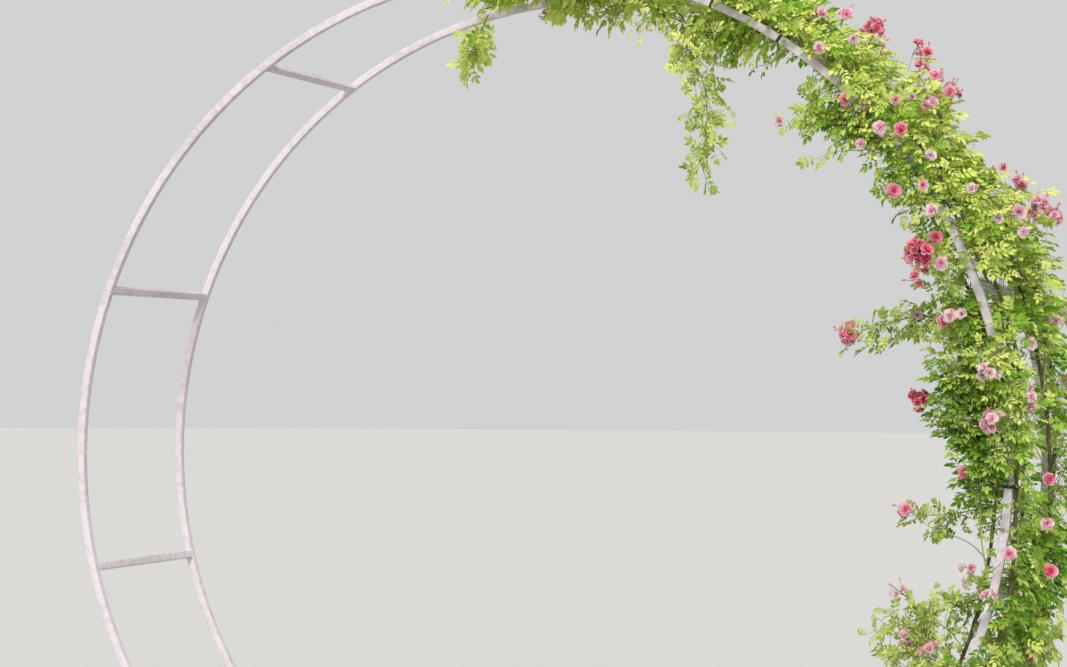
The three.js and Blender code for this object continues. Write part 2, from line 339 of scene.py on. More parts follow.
# %% Leaves
def leaf_recipe(s):
    along, across, _ = s.split(s.attribute("blade", "Vector"))
    tone, young = s.attribute("tone"), s.attribute("young")
    slant = (along - across * 0.3) * 6.5
    ridge = s.node("ShaderNodeMath", {"operation": "PINGPONG"}, {0: slant, 1: 0.5})
    veins = s.band(ridge, 0.42, 0.5) * (1 - s.band(across, 0.75, 1.0))
    midrib = 1 - s.band(across, 0.0, 0.13)
    mottle = s.noise(38, 2)
    # The tone picks the green, from deep to light. Part of the tone is random, and part is painted light and
    # shade that comes from each leaf's place on the arch.
    green = s.mix(s.band(tone, 0.05, 0.5), shade(24, 96, 2), shade(98, 154, 18))
    green = s.mix(s.band(tone, 0.4, 1.0), green, shade(192, 206, 96))
    green = s.mix(s.band(young, 0.2, 0.65) * (0.3 + tone * 0.55), green, shade(220, 226, 126))
    red_tip = s.band(young, 0.85, 1.0) * s.band(tone, 0.4, 0.9) * 0.7
    green = s.mix(red_tip, green, shade(200, 136, 84))
    green = s.mix(s.band(mottle, 0.4, 0.8) * 0.2, green, shade(222, 224, 100))
    colour = s.mix(veins * 0.2 + midrib * 0.35, green, shade(212, 222, 116))
    return {
        "Base Color": colour,
        "Roughness": 0.5 + mottle * 0.2,
        "Normal": s.bump(veins + midrib, 0.35, 0.3 * MM),
    }


LEAF = material(
    "rose_leaf", leaf_recipe,
    Subsurface_Weight=0.5, Subsurface_Radius=(0.4, 0.8, 0.08), Subsurface_Scale=4 * MM,
    Specular_IOR_Level=0.2,
)

# %% [markdown]
# The blooms are small double roses. A bloom's tone runs from pale pink over mid pink to crimson.
# Petals are deepest at the heart and fade to their rims. The attribute petal holds the way along
# the petal in X and the layer in Y, and its Z marks the green parts.

# %% Petals
def petal_recipe(s):
    along, layer, green_part = s.split(s.attribute("petal", "Vector"))
    tone = s.attribute("tone")
    stops = [
        (0.0, shade(255, 228, 234)), (0.35, shade(255, 182, 202)),
        (0.7, shade(255, 92, 140)), (1.0, shade(218, 18, 66)),
    ]
    heart = (1 - layer) * 0.24 - s.band(along, 0.45, 1.0) * 0.34
    colour = s.node("ShaderNodeValToRGB", {"stops": stops}, {"Fac": tone + heart + 0.03}, "Color")
    fine = s.noise(260, 2)
    colour = s.mix(s.band(fine, 0.45, 0.75) * 0.18, colour, shade(255, 224, 230))
    colour = s.mix(green_part, colour, shade(132, 160, 66))
    return {
        "Base Color": colour,
        "Roughness": 0.5 + fine * 0.15,
        "Normal": s.bump(fine, 0.2, 0.3 * MM),
    }


PETAL = material(
    "rose_petal", petal_recipe,
    Subsurface_Weight=0.7, Subsurface_Radius=(0.9, 0.5, 0.5), Subsurface_Scale=5 * MM,
    Specular_IOR_Level=0.3,
)

# %% [markdown]
# The ties are soft black tree ties, with a fine grain and a little dust.

# %% Ties
def tie_recipe(s):
    grain = s.noise(900, 1)
    dust = s.band(s.noise(60, 3), 0.45, 0.75)
    return {
        "Base Color": s.mix(dust * 0.5, shade(22, 22, 24), shade(72, 70, 68)),
        "Roughness": 0.55 + dust * 0.25,
        "Normal": s.bump(grain, 0.3, 0.4 * MM),
    }


TIE = material("soft_black_tie", tie_recipe)

# %% [markdown]
# Next come the helpers for Geometry Nodes. Shapes has the usual steps of a tree by name. A tree
# gets named inputs, and run_tree puts it on a mesh, sets the inputs by their identifiers, and
# turns the result into a plain mesh. Nothing live stays behind, so only ordinary meshes are left.

# %% Geometry helpers
class Shapes(Graph):
    """A geometry tree with the usual steps by name."""

    def attribute(self, name, kind="FLOAT"):
        return self.node("GeometryNodeInputNamedAttribute", {"data_type": kind}, {"Name": name})

    def vector(self, **parts):
        return self.node("ShaderNodeCombineXYZ", {}, parts)

    def vector_maths(self, operation, a, b):
        second = "Scale" if operation == "SCALE" else 1
        return self.node("ShaderNodeVectorMath", {"operation": operation}, {0: a, second: b})

    def share(self, value, low, high):
        """0 below low, 1 above high, and even between them."""
        values = {"Value": value, "From Min": low, "From Max": high}
        return self.node("ShaderNodeMapRange", {}, values)

    def rotation(self, euler):
        return self.node("FunctionNodeEulerToRotation", {}, {"Euler": euler})

    def transform(self, geometry, **values):
        return self.node("GeometryNodeTransform", {}, {"Geometry": geometry, **values})

    def join(self, *parts):
        return self.node("GeometryNodeJoinGeometry", {}, {"Geometry": list(parts)})

    def lines(self, mesh):
        return self.node("GeometryNodeMeshToCurve", {}, {"Mesh": mesh})

    def circle(self, sides, radius):
        values = {"Resolution": sides, "Radius": radius}
        return self.node("GeometryNodeCurvePrimitiveCircle", {}, values)

    def fillet(self, curve, steps, radius, limit=False):
        """A curve with its corners rounded in this many steps."""
        return self.node("GeometryNodeFilletCurve", {"mode": "POLY"}, {
            "Curve": curve, "Count": steps, "Radius": radius, "Limit Radius": limit})

    def rectangle(self, width, height, steps, corner):
        sides = {"Width": width, "Height": height}
        outline = self.node("GeometryNodeCurvePrimitiveQuadrilateral", {}, sides)
        return self.fillet(outline, steps, corner)

    def carried(self, curve, profile, caps=True, **values):
        """A profile carried along a curve."""
        return self.node("GeometryNodeCurveToMesh", {}, {
            "Curve": curve, "Profile Curve": profile, "Fill Caps": caps, **values})

    def dressed(self, geometry, finish):
        """Real geometry instead of instances, in its material."""
        real = self.node("GeometryNodeRealizeInstances", {}, {"Geometry": geometry})
        return self.node("GeometryNodeSetMaterial", {}, {"Geometry": real, "Material": finish})

    def end(self, geometry):
        output = self.tree.nodes.new("NodeGroupOutput")
        self.tree.links.new(geometry.socket, output.inputs[0])


def new_tree(name, inputs):
    """A geometry tree with named inputs: gives its graph, and each input as a Wire."""
    tree = bpy.data.node_groups.new(name, "GeometryNodeTree")
    tree.interface.new_socket("Geometry", in_out="INPUT", socket_type="NodeSocketGeometry")
    tree.interface.new_socket("Geometry", in_out="OUTPUT", socket_type="NodeSocketGeometry")
    for label, kind in inputs.items():
        tree.interface.new_socket(label, in_out="INPUT", socket_type="NodeSocket" + kind)
    graph = Shapes(tree)
    sockets = tree.nodes.new("NodeGroupInput").outputs
    return graph, {socket.name: Wire(graph, socket) for socket in sockets if socket.name}


def run_tree(name, graph, settings, mesh=None):
    """Runs a tree on a mesh, and gives what it makes as an object with a plain mesh."""
    maker = add_object(name, mesh or bpy.data.meshes.new(name))
    modifier = maker.modifiers.new("Making", "NODES")
    modifier.node_group = graph.tree
    for item in graph.tree.interface.items_tree:
        if item.in_out == "INPUT" and item.name in settings:
            modifier[item.identifier] = settings[item.name]
    evaluated = maker.evaluated_get(bpy.context.evaluated_depsgraph_get())
    made = bpy.data.meshes.new_from_object(evaluated)
    bpy.data.objects.remove(maker)
    made.name = name
    return add_object(name, made)


def soften(mesh, degrees=40):
    """Smooth shading, with the edges sharper than this kept."""
    mesh.shade_smooth()
    mesh.set_sharp_from_angle(angle=math.radians(degrees))


@contextmanager
def edited(mesh):
    """Lends out a mesh for editing, and writes back what was done to it."""
    work = bmesh.new()
    work.from_mesh(mesh)
    yield work
    work.to_mesh(mesh)
    work.free()


def cut_at_ground(mesh):
    """Cuts off what is below the ground, and closes the cuts."""
    with edited(mesh) as work:
        everything = work.verts[:] + work.edges[:] + work.faces[:]
        bmesh.ops.bisect_plane(
            work, geom=everything, plane_co=(0, 0, 0), plane_no=(0, 0, 1), clear_inner=True)
        bmesh.ops.holes_fill(work, edges=[edge for edge in work.edges if edge.is_boundary])
        bmesh.ops.recalc_face_normals(work, faces=work.faces[:])


def settle(piece, nodes):
    """A finished piece rides on the arch and stands for its CAD nodes."""
    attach(piece, "root")
    if nodes:
        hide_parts(*nodes)
    triangles = sum(len(face.vertices) - 2 for face in piece.data.polygons)
    print(piece.name, "has", triangles, "triangles")


# %% [markdown]
# Each ring is one run of square tube with rounded corners, bent to a circle and welded up from
# four lengths. The CAD model draws it in straight steps. Here the tube is a profile carried along
# an arc, which stays smooth, and at each joint a bead of weld stands a little proud. The bead is
# a round profile carried round the tube's own outline, with some noise, so it is a little uneven.

# %% The two rings
FOOT_ANGLE = TOP - BAY_ANGLE * BAYS_A_SIDE
BURIED_ANGLE = 3  # drawn past the ground, which cuts it off
ARC_STEPS, CORNER_STEPS = 240, 3
BEAD, BEAD_STEPS, BEAD_SIDES = 1.7 * MM, 44, 6
WOBBLE, WOBBLE_SCALE = 2 * MM, 260.0  # how uneven a bead is
NOISE_MIDDLE = (0.5, 0.5, 0.5)
RING_JOINTS = 3
QUARTER_TURN = (math.pi / 2, 0, 0)


def tube_outline(graph, size, corner):
    return graph.rectangle(size, size, CORNER_STEPS, corner)


def weld_bead(graph, size, corner, bead):
    """A bead round a square tube that runs along Z."""
    loop = graph.node("GeometryNodeResampleCurve", {}, {
        "Curve": tube_outline(graph, size, corner), "Count": BEAD_STEPS})
    wobble = graph.node("ShaderNodeTexNoise", {}, {"Scale": WOBBLE_SCALE}, "Color")
    wobble = graph.vector_maths("SUBTRACT", wobble, NOISE_MIDDLE)
    wobble = graph.vector_maths("SCALE", wobble, WOBBLE)
    loop = graph.node("GeometryNodeSetPosition", {}, {"Geometry": loop, "Offset": wobble})
    return graph.carried(loop, graph.circle(BEAD_SIDES, bead), caps=False)


def angle_points(graph, count, first, step, radius):
    """Points at equal angles, and their angles."""
    angle = first + graph.node("GeometryNodeInputIndex") * step
    spot = graph.vector(
        X=angle.maths("COSINE", angle) * radius, Z=angle.maths("SINE", angle) * radius)
    return graph.node("GeometryNodePoints", {}, {"Count": count, "Position": spot}), angle


def turned(graph, angle):
    """A rotation that takes X to the outward direction at this angle."""
    return graph.rotation(graph.vector(Y=angle * -1))


ring_tree, given = new_tree("Welded ring", {
    "Radius": "Float", "Tube": "Float", "Corner": "Float", "Start": "Float", "Sweep": "Float",
    "Middle": "Vector", "Joints": "Int", "First joint": "Float", "Joint step": "Float",
    "Bead": "Float", "Paint": "Material"})
arc = ring_tree.node("GeometryNodeCurveArc", {"mode": "RADIUS"}, {
    "Resolution": ARC_STEPS, "Radius": given["Radius"],
    "Start Angle": given["Start"], "Sweep Angle": given["Sweep"]})
tube = ring_tree.carried(arc, tube_outline(ring_tree, given["Tube"], given["Corner"]))
tube = ring_tree.transform(tube, Rotation=ring_tree.rotation(QUARTER_TURN))
joints, angle = angle_points(
    ring_tree, given["Joints"], given["First joint"], given["Joint step"], given["Radius"])
beads = ring_tree.node("GeometryNodeInstanceOnPoints", {}, {
    "Points": joints, "Rotation": turned(ring_tree, angle),
    "Instance": weld_bead(ring_tree, given["Tube"], given["Corner"], given["Bead"])})
whole = ring_tree.transform(ring_tree.join(tube, beads), Translation=given["Middle"])
ring_tree.end(ring_tree.dressed(whole, given["Paint"]))

for name, depth in (("front_ring", FRONT), ("back_ring", BACK)):
    ring = run_tree(f"{name}_tube", ring_tree, {
        "Radius": RADIUS, "Tube": TUBE, "Corner": TUBE_CORNER,
        "Start": math.radians(FOOT_ANGLE - BURIED_ANGLE),
        "Sweep": math.radians(2 * (TOP - FOOT_ANGLE + BURIED_ANGLE)),
        "Middle": CENTRE + Vector((0, depth, 0)), "Joints": RING_JOINTS,
        "First joint": math.radians(TOP - SECTION_BAYS * BAY_ANGLE),
        "Joint step": math.radians(SECTION_BAYS * BAY_ANGLE), "Bead": BEAD, "Paint": PAINT})
    cut_at_ground(ring.data)
    soften(ring.data)
    settle(ring, [
        f"{name}_{side}_{level}" for side in ("right", "left") for level in ("upper", "lower")])

# %% [markdown]
# Nine crossbars of the same tube join the rings. They stand at equal angles, so one bar is
# instanced on nine points. Each bar turns with its place on the ring, except the two at the feet,
# which lie flat on the ground. A fillet of weld runs round both ends.

# %% The crossbars
bar_tree, given = new_tree("Crossbars", {
    "Count": "Int", "Radius": "Float", "First": "Float", "Step": "Float", "Length": "Float",
    "Tube": "Float", "Corner": "Float", "Bead": "Float", "Middle": "Vector", "Paint": "Material"})
half = given["Length"] * 0.5
ends = [bar_tree.vector(Z=half * sign) for sign in (-1, 1)]
line = bar_tree.node("GeometryNodeCurvePrimitiveLine", {}, {"Start": ends[0], "End": ends[1]})
bar = bar_tree.carried(line, tube_outline(bar_tree, given["Tube"], given["Corner"]))
bead = weld_bead(bar_tree, given["Tube"], given["Corner"], given["Bead"])
fillets = [bar_tree.transform(bead, Translation=end) for end in ends]
bar = bar_tree.join(bar, *fillets)
bar = bar_tree.transform(bar, Rotation=bar_tree.rotation(QUARTER_TURN))
spots, angle = angle_points(
    bar_tree, given["Count"], given["First"], given["Step"], given["Radius"])
from_top = angle.maths("ABSOLUTE", angle - math.radians(TOP))
above_feet = angle.maths("LESS_THAN", from_top, math.radians((BAYS_A_SIDE - 0.5) * BAY_ANGLE))
bars = bar_tree.node("GeometryNodeInstanceOnPoints", {}, {
    "Points": spots, "Instance": bar, "Rotation": turned(bar_tree, angle * above_feet)})
bars = bar_tree.transform(bars, Translation=given["Middle"])
bar_tree.end(bar_tree.dressed(bars, given["Paint"]))

crossbars = run_tree("crossbars", bar_tree, {
    "Count": 2 * BAYS_A_SIDE + 1, "Radius": RADIUS, "First": math.radians(FOOT_ANGLE),
    "Step": math.radians(BAY_ANGLE), "Length": BACK - FRONT - TUBE, "Tube": TUBE,
    "Corner": TUBE_CORNER, "Bead": BEAD, "Middle": CENTRE, "Paint": PAINT})
cut_at_ground(crossbars.data)
soften(crossbars.data)
bar_names = ["crossbar_top", "foot_crossbar_left", "foot_crossbar_right"]
bar_names += [
    f"crossbar_{side}_{number}" for side in ("left", "right") for number in range(1, BAYS_A_SIDE)]
settle(crossbars, bar_names)

# %% [markdown]
# The canes are the old wood. Their routes are the CAD model's own: stops of degrees, millimetres
# outside the ring and millimetres behind the middle, with a smooth curve through them. So the
# same curve is written again here, because a different one would miss the ties.

# %% Routes of the canes
CANE_RADIUS = 7
SEATED = TUBE / MM / 2 + CANE_RADIUS + 2.5  # where a tie pulls a cane against the ring
AT_FRONT, AT_BACK = FRONT / MM, BACK / MM
STEPS_A_STOP = 40
CANES = {
    "front_outer": [
        (-52, 190, -300), (-44, 120, -330), (-33, SEATED, AT_FRONT), (-18, 50, -325),
        (-2, SEATED, AT_FRONT), (14, 52, -320), (30, 44, -335), (43, 50, -320),
        (57, SEATED, AT_FRONT), (61.5, 26, AT_FRONT), (66, SEATED, AT_FRONT), (80, 40, -330),
    ],
    "middle_outer": [
        (-52, 230, -60), (-43, 150, -40), (-28, 70, -90), (-8, 60, 60), (12, 70, -60),
        (33, 62, 80), (52, 70, -40), (74, 60, 90), (92, 50, 150),
    ],
    "back_outer": [
        (-52, 170, 320), (-44, 100, 335), (-34, SEATED, AT_BACK), (-18, 48, 320),
        (-4, SEATED, AT_BACK), (16, 50, 325), (40, SEATED, AT_BACK), (60, 46, 325),
        (84, SEATED, AT_BACK), (92, 30, 340), (104, 30, 345),
    ],
    "back_inner": [
        (-56, -80, 200), (-44, -60, 240), (-24, -SEATED, 330), (-6, -50, 250), (14, -44, 160),
        (34, -50, 230), (54, -44, 180),
    ],
    "front_inner": [
        (-56, -70, -150), (-45, -50, -190), (-25, -40, -240), (-5, -60, -200), (10, -42, -120),
        (27, -60, -180), (44, -42, -230),
    ],
}


def through(stops, share):
    """The stop at this share, 0 to 1, of a centripetal Catmull-Rom curve through the stops."""
    given_stops = [Vector(stop) for stop in stops]
    first = 2 * given_stops[0] - given_stops[1]
    last = 2 * given_stops[-1] - given_stops[-2]
    spots = [first, *given_stops, last]
    spot = min(share * (len(stops) - 1), len(stops) - 1 - 1e-6)
    index = int(spot)
    rest = spot - index
    a, b, c, d = spots[index:index + 4]
    before, between, after = [math.sqrt((q - p).length) for p, q in ((a, b), (b, c), (c, d))]
    leaving = ((b - a) / before - (c - a) / (before + between) + (c - b) / between) * between
    arriving = ((c - b) / between - (d - b) / (between + after) + (d - c) / after) * between
    squared = 3 * (c - b) - 2 * leaving - arriving
    cubed = 2 * (b - c) + leaving + arriving
    return b + leaving * rest + squared * rest ** 2 + cubed * rest ** 3


def even_points(points, step):
    """The same line, cut into equal lengths of about a step."""
    lengths = [0.0]
    for p, q in zip(points, points[1:]):
        lengths.append(lengths[-1] + (q - p).length)
    count = max(2, round(lengths[-1] / step))
    evened, index = [], 0
    for number in range(count + 1):
        goal = lengths[-1] * number / count
        while index < len(points) - 2 and lengths[index + 1] < goal:
            index += 1
        span = lengths[index + 1] - lengths[index]
        evened.append(points[index].lerp(points[index + 1], (goal - lengths[index]) / span))
    return evened


def follow(stops, step):
    """Points in metres along a route."""
    fine, count = [], STEPS_A_STOP * len(stops)
    for number in range(count):
        degrees, outside, depth = through(stops, number / (count - 1))
        fine.append(place(degrees, outside * MM, depth * MM))
    return even_points(fine, step)


# %% [markdown]
# Everything that grows is first drawn as thin lines: canes, shoots, and the little stalks of the
# blooms. A Growth gathers such lines for one piece, and the points where a bloom or a bud sits.
# It becomes a mesh of bare edges with attributes, which is what the Geometry Nodes trees below
# take.

# %% Lines that grow
class Growth:
    """Lines and bloom points of one piece."""

    def __init__(self):
        self.points, self.edges = [], []
        self.values = {"thick": [], "young": [], "leafy": [], "kind": [], "tone": [], "size": []}
        self.facing = []

    def add(self, point, facing=(0, 0, 1), **values):
        self.points.append(point)
        self.facing.append(facing)
        for name, column in self.values.items():
            column.append(values.get(name, -1.0 if name == "kind" else 0.0))

    def line(self, points, thick, young, leafy=lambda share, point: 0.0):
        """A line whose thick and young are pairs, at its start and its end."""
        first = len(self.points)
        for number, point in enumerate(points):
            share = number / (len(points) - 1)
            self.add(
                point, thick=thick[0] + (thick[1] - thick[0]) * share,
                young=young[0] + (young[1] - young[0]) * share, leafy=leafy(share, point))
        self.edges += [(first + number, first + number + 1) for number in range(len(points) - 1)]

    def mesh(self, name):
        made = bpy.data.meshes.new(name)
        made.from_pydata(self.points, self.edges, [])
        for label, column in self.values.items():
            made.attributes.new(label, "FLOAT", "POINT").data.foreach_set("value", column)
        flat = [value for facing in self.facing for value in facing]
        made.attributes.new("facing", "FLOAT_VECTOR", "POINT").data.foreach_set("vector", flat)
        return made


# %% [markdown]
# A cane is a round profile along its line, thicker at the foot than at the end. A rose cane isn't
# smooth: it swells at each node, where a leaf once grew. The swelling is a sine of the length
# along the cane, added to its radius inside the tree.

# %% The canes
CANE_STEP = 0.02
CANE_ENDS, THIN_ENDS = (7.2 * MM, 3.4 * MM), (3 * MM, 1.9 * MM)  # radius at the foot and the end
CANE_SIDES, THIN_SIDES = 12, 8
SHOOTS_ABOVE = 0.1  # no shoot leaves a cane lower than this, or ends lower on a spray
NOISE_SEED = 5


def scaled_tube(graph, line, radius, sides):
    return graph.carried(line, graph.circle(sides, 1.0), Scale=radius)


cane_tree, given = new_tree("Canes", {
    "Sides": "Int", "Node spacing": "Float", "Swelling": "Float", "Bark": "Material"})
line = cane_tree.lines(given["Geometry"])
length = cane_tree.node("GeometryNodeSplineParameter", out="Length")
turns = length / given["Node spacing"] * math.tau
swelling = (length.maths("COSINE", turns) * 0.5 + 0.5) ** 12 * given["Swelling"]
cane = scaled_tube(cane_tree, line, cane_tree.attribute("thick") + swelling, given["Sides"])
cane_tree.end(cane_tree.dressed(cane, given["Bark"]))
CANE_LOOKS = {"Node spacing": 0.07, "Swelling": 1.6 * MM, "Bark": BARK}

THIN_CANES = [
    [(6, -30, -345), (0, -72, -370), (-6, -66, -405), (-10, -42, -395), (-13, -16, -372)],
    [(1, -66, -368), (-2, -44, -372), (-5, -17, -365)],
    [
        (27, 30, -320), (23, 84, -300), (20, 124, -220), (16, 138, -150), (11, 96, -120),
        (4, 50, -80),
    ],
    [(30, 60, -20), (25, 118, 0), (22, 104, 50), (19, 36, 60), (12, 30, 90)],
    [(30, 20, -365), (34, 24, -370), (36, 80, -340), (38, 150, -290)],
    [(40, -30, -350), (36, -14, -374), (33, 22, -372)],
    [(78, -40, -120), (73, -76, -190), (67, -86, -250), (63, -110, -270)],
    [(-34, 110, -180), (-21, 84, -110), (-14, 84, -90), (-3, 70, -60)],
    [(12, 40, 300), (6, 110, 280), (-4, 130, 250), (-16, 100, 270)],
    [(52, 60, 180), (58, 110, 120), (66, 90, 60), (75, 50, 20)],
]

seed_set(NOISE_SEED)  # so the noise is the same in each run


def wavering(points, amount=1.5 * MM, scale=9):
    """The same line, a little uneven, as anything that grew."""
    return [point + noise_vector(point * scale) * amount for point in points]


def spots_along(points, every):
    """Where a shoot may leave a cane, and the way that the cane grows there."""
    pairs = zip(points[::every], points[1::every])
    return [(p, (q - p).normalized()) for p, q in pairs if p.z > SHOOTS_ABOVE]


cane_spots = []
for name, stops in CANES.items():
    points = wavering(follow(stops, CANE_STEP))
    cane_spots += spots_along(points, 2)
    growth = Growth()
    growth.line(points, CANE_ENDS, (0.0, 0.16))
    settings = {"Sides": CANE_SIDES, **CANE_LOOKS}
    cane = run_tree(f"rose_cane_{name}", cane_tree, settings, growth.mesh(name))
    cut_at_ground(cane.data)
    soften(cane.data, 60)
    settle(cane, [f"cane_{name}"])

growth = Growth()
for stops in THIN_CANES:
    points = wavering(follow(stops, CANE_STEP), 3 * MM, 7)
    cane_spots += spots_along(points, 3)
    growth.line(points, THIN_ENDS, (0.05, 0.3))
settings = {"Sides": THIN_SIDES, **CANE_LOOKS}
thin = run_tree("thin_canes", cane_tree, settings, growth.mesh("thin"))
soften(thin.data, 60)
settle(thin, [])
print("Shoots may leave the canes at", len(cane_spots), "places")

# %% [markdown]
# Each tie is a flat band round the tube and the cane beside it, pulled tight, with a free end.
# The band's path is a rounded outline in the plane across the ring, and its section is a thin
# rectangle. The path comes from a few corners, so Geometry Nodes round them and carry the section
# round.

# %% The ties
TIE_WIDTH, TIE_THICKNESS, TIE_CORNER = 10 * MM, 1.8 * MM, 3.5 * MM
PATH_STEPS, EDGE_STEPS, EDGE_ROUND = 4, 2, 0.35
tie_tree, given = new_tree("Tie", {
    "Width": "Float", "Thickness": "Float", "Corner": "Float", "Finish": "Material"})
path = tie_tree.lines(given["Geometry"])
path = tie_tree.fillet(path, PATH_STEPS, given["Corner"], limit=True)
edge = given["Thickness"] * EDGE_ROUND
section = tie_tree.rectangle(given["Thickness"], given["Width"], EDGE_STEPS, edge)
tie_tree.end(tie_tree.dressed(tie_tree.carried(path, section), given["Finish"]))

TIES = {
    "tie_front_low": (-33, FRONT), "tie_front_middle": (-2, FRONT), "tie_front_high": (57, FRONT),
    "tie_front_top": (66, FRONT), "tie_back_low": (-34, BACK), "tie_back_middle": (-4, BACK),
    "tie_back_high": (40, BACK), "tie_back_top": (84, BACK),
}
SKIN = TUBE / 2 + TIE_THICKNESS / 2
CANE_SIDE = (SEATED + CANE_RADIUS) * MM + TIE_THICKNESS / 2
LOOP = [  # outside the ring and from front to back
    (-SKIN, -SKIN), (-SKIN, SKIN), (SKIN, SKIN), (CANE_SIDE - 4 * MM, 6.5 * MM), (CANE_SIDE, 0),
    (CANE_SIDE - 4 * MM, -6.5 * MM), (SKIN, -SKIN),
]
TAIL = [(-SKIN - 1 * MM, 2 * MM), (-SKIN - 2.2 * MM, 10 * MM), (-SKIN - 9 * MM, 15 * MM)]


def tie_line(corners, degrees, depth, closed):
    made = bpy.data.meshes.new("tie_line")
    spots = [place(degrees, outside, depth + across) for outside, across in corners]
    edges = [(number, number + 1) for number in range(len(spots) - 1)]
    made.from_pydata(spots, edges + [(len(spots) - 1, 0)] * closed, [])
    return made


for name, (degrees, depth) in TIES.items():
    looks = {
        "Width": TIE_WIDTH, "Thickness": TIE_THICKNESS, "Corner": TIE_CORNER, "Finish": TIE}
    loop = run_tree(f"{name}_band", tie_tree, looks, tie_line(LOOP, degrees, depth, True))
    tail = run_tree(f"{name}_tail", tie_tree, looks, tie_line(TAIL, degrees, depth, False))
    for piece in (loop, tail):
        with edited(piece.data) as work:
            bmesh.ops.recalc_face_normals(work, faces=work.faces[:])
        soften(piece.data, 30)
    settle(loop, [name])
    settle(tail, [])

# %% [markdown]
# A rose leaf is five or seven leaflets on one stalk. It will be repeated some thousands of times,
# so a leaflet has only eight faces: a folded, curled upper side with a midrib, closed below by
# two plain ones. Three leaves are made, and each is drooped and turned a little differently. They
# are patterns, and don't stay in the scene.

# %% A leaf
STATIONS = ((0.3, 0.47), (0.7, 0.4))  # along a leaflet, and half its width there
LEAFLET_SHAPE = 0.54  # a leaflet's width as a share of its length
FOLD, CURL = 0.3, 0.16
STALK_STATIONS, STALK_SAG, STALK_RADIUS = 3, 0.16, 0.7 * MM
PAIRS_FROM, PAIRS_OVER = 0.34, 0.56  # where leaflets begin on the stalk, and the share they take
FIRST_LEAFLET, LEAFLET_STEP, END_LEAFLET = 24, 5, 36  # mm long, and mm more for each pair
LEAFLET_SPREAD, SPREAD_CHANCE, SPREAD_STEP = 66, 9, 6  # degrees from the stalk
LEAFLET_TILT, LEAFLET_ROLL = (-4, 16), (0, 22)
END_DROOP = math.radians(18)
PATTERN_SEED = 3


def turned_about(axis, angle):
    return Matrix.Rotation(angle, 4, axis)


class Pattern:
    """Points, faces and one vector attribute of a small shape that is repeated."""

    def __init__(self):
        self.points, self.faces, self.values = [], [], []

    def add(self, points, faces, values, matrix=Matrix()):
        first = len(self.points)
        self.points += [matrix @ Vector(point) for point in points]
        self.faces += [tuple(first + index for index in face) for face in faces]
        self.values += values

    def build(self, name, label):
        made = bpy.data.meshes.new(name)
        made.from_pydata(self.points, [], self.faces)
        made.shade_smooth()
        flat = [part for value in self.values for part in value]
        made.attributes.new(label, "FLOAT_VECTOR", "POINT").data.foreach_set("vector", flat)
        return add_object(name, made)


def leaflet(length, width):
    """A leaflet along X. Its points are its base, tip, left edge, right edge and rib."""
    points, values = [(0, 0, 0), (length, 0, -CURL * length)], [(0, 0, 0), (1, 0, 0)]
    for side in (1, -1):
        for along, half in STATIONS:
            rise = half * width * FOLD - CURL * length * along ** 2
            points.append((along * length, side * half * width, rise))
            values.append((along, 1, 0))
    for along, half in STATIONS:
        points.append((along * length, 0, -CURL * length * along ** 2))
        values.append((along, 0, 0))
    upper = [(0, 6, 2), (6, 7, 3, 2), (7, 1, 3), (0, 4, 6), (6, 4, 5, 7), (7, 5, 1)]
    return points, upper + [(0, 2, 3, 1), (1, 5, 4, 0)], values


def stalk(length, sag, radius):
    """A three-sided stalk along X that sags to its end."""
    points = []
    for number in range(STALK_STATIONS):
        share = number / (STALK_STATIONS - 1)
        for corner in range(3):
            turn = math.tau * corner / 3
            height = radius * math.sin(turn) - sag * share ** 2
            points.append((share * length, radius * math.cos(turn), height))
    faces = [(0, 2, 1), tuple(len(points) - 3 + corner for corner in range(3))]
    for number in range(STALK_STATIONS - 1):
        for corner in range(3):
            a, b = 3 * number + corner, 3 * number + (corner + 1) % 3
            faces.append((a, b, b + 3, a + 3))
    return points, faces, [(0.5, 0.05, 0)] * len(points)


def compound_leaf(name, pairs, length, chance):
    """A leaf along X, its upper side up."""
    leaf = Pattern()
    sag = length * STALK_SAG
    leaf.add(*stalk(length, sag, STALK_RADIUS))
    for pair in range(pairs):
        share = PAIRS_FROM + PAIRS_OVER * pair / (pairs - 1)
        spot = Vector((share * length, 0, -sag * share ** 2))
        size = (FIRST_LEAFLET + LEAFLET_STEP * pair) * MM
        for side in (1, -1):
            away = LEAFLET_SPREAD + chance.uniform(-SPREAD_CHANCE, SPREAD_CHANCE)
            spread = side * math.radians(away - SPREAD_STEP * pair)
            tilt = math.radians(chance.uniform(*LEAFLET_TILT))
            roll = -side * math.radians(chance.uniform(*LEAFLET_ROLL))
            turn = turned_about("Z", spread) @ turned_about("Y", tilt) @ turned_about("X", roll)
            leaf.add(*leaflet(size, size * LEAFLET_SHAPE), Matrix.Translation(spot) @ turn)
    end = Matrix.Translation((length, 0, -sag)) @ turned_about("Y", END_DROOP)
    leaf.add(*leaflet(END_LEAFLET * MM, END_LEAFLET * MM * LEAFLET_SHAPE), end)
    return leaf.build(name, "blade")


chance = random.Random(PATTERN_SEED)
LEAVES = {
    "Leaf of five": compound_leaf("leaf_of_five", 2, 48 * MM, chance),
    "Leaf of seven": compound_leaf("leaf_of_seven", 3, 64 * MM, chance),
    "Loose leaf": compound_leaf("loose_leaf", 3, 72 * MM, chance),
}
print("Faces of each leaf:", [len(leaf.data.polygons) for leaf in LEAVES.values()])

# %% [markdown]
# An open bloom is five rings of petals, and a half open one is four. Each ring stands more
# upright than the one outside it, and all of them sit on a green hip. The petal is the shape that
# is repeated: 8 faces, closed, cupped along and across. A bud is a pointed barrel in its green
# sepals.

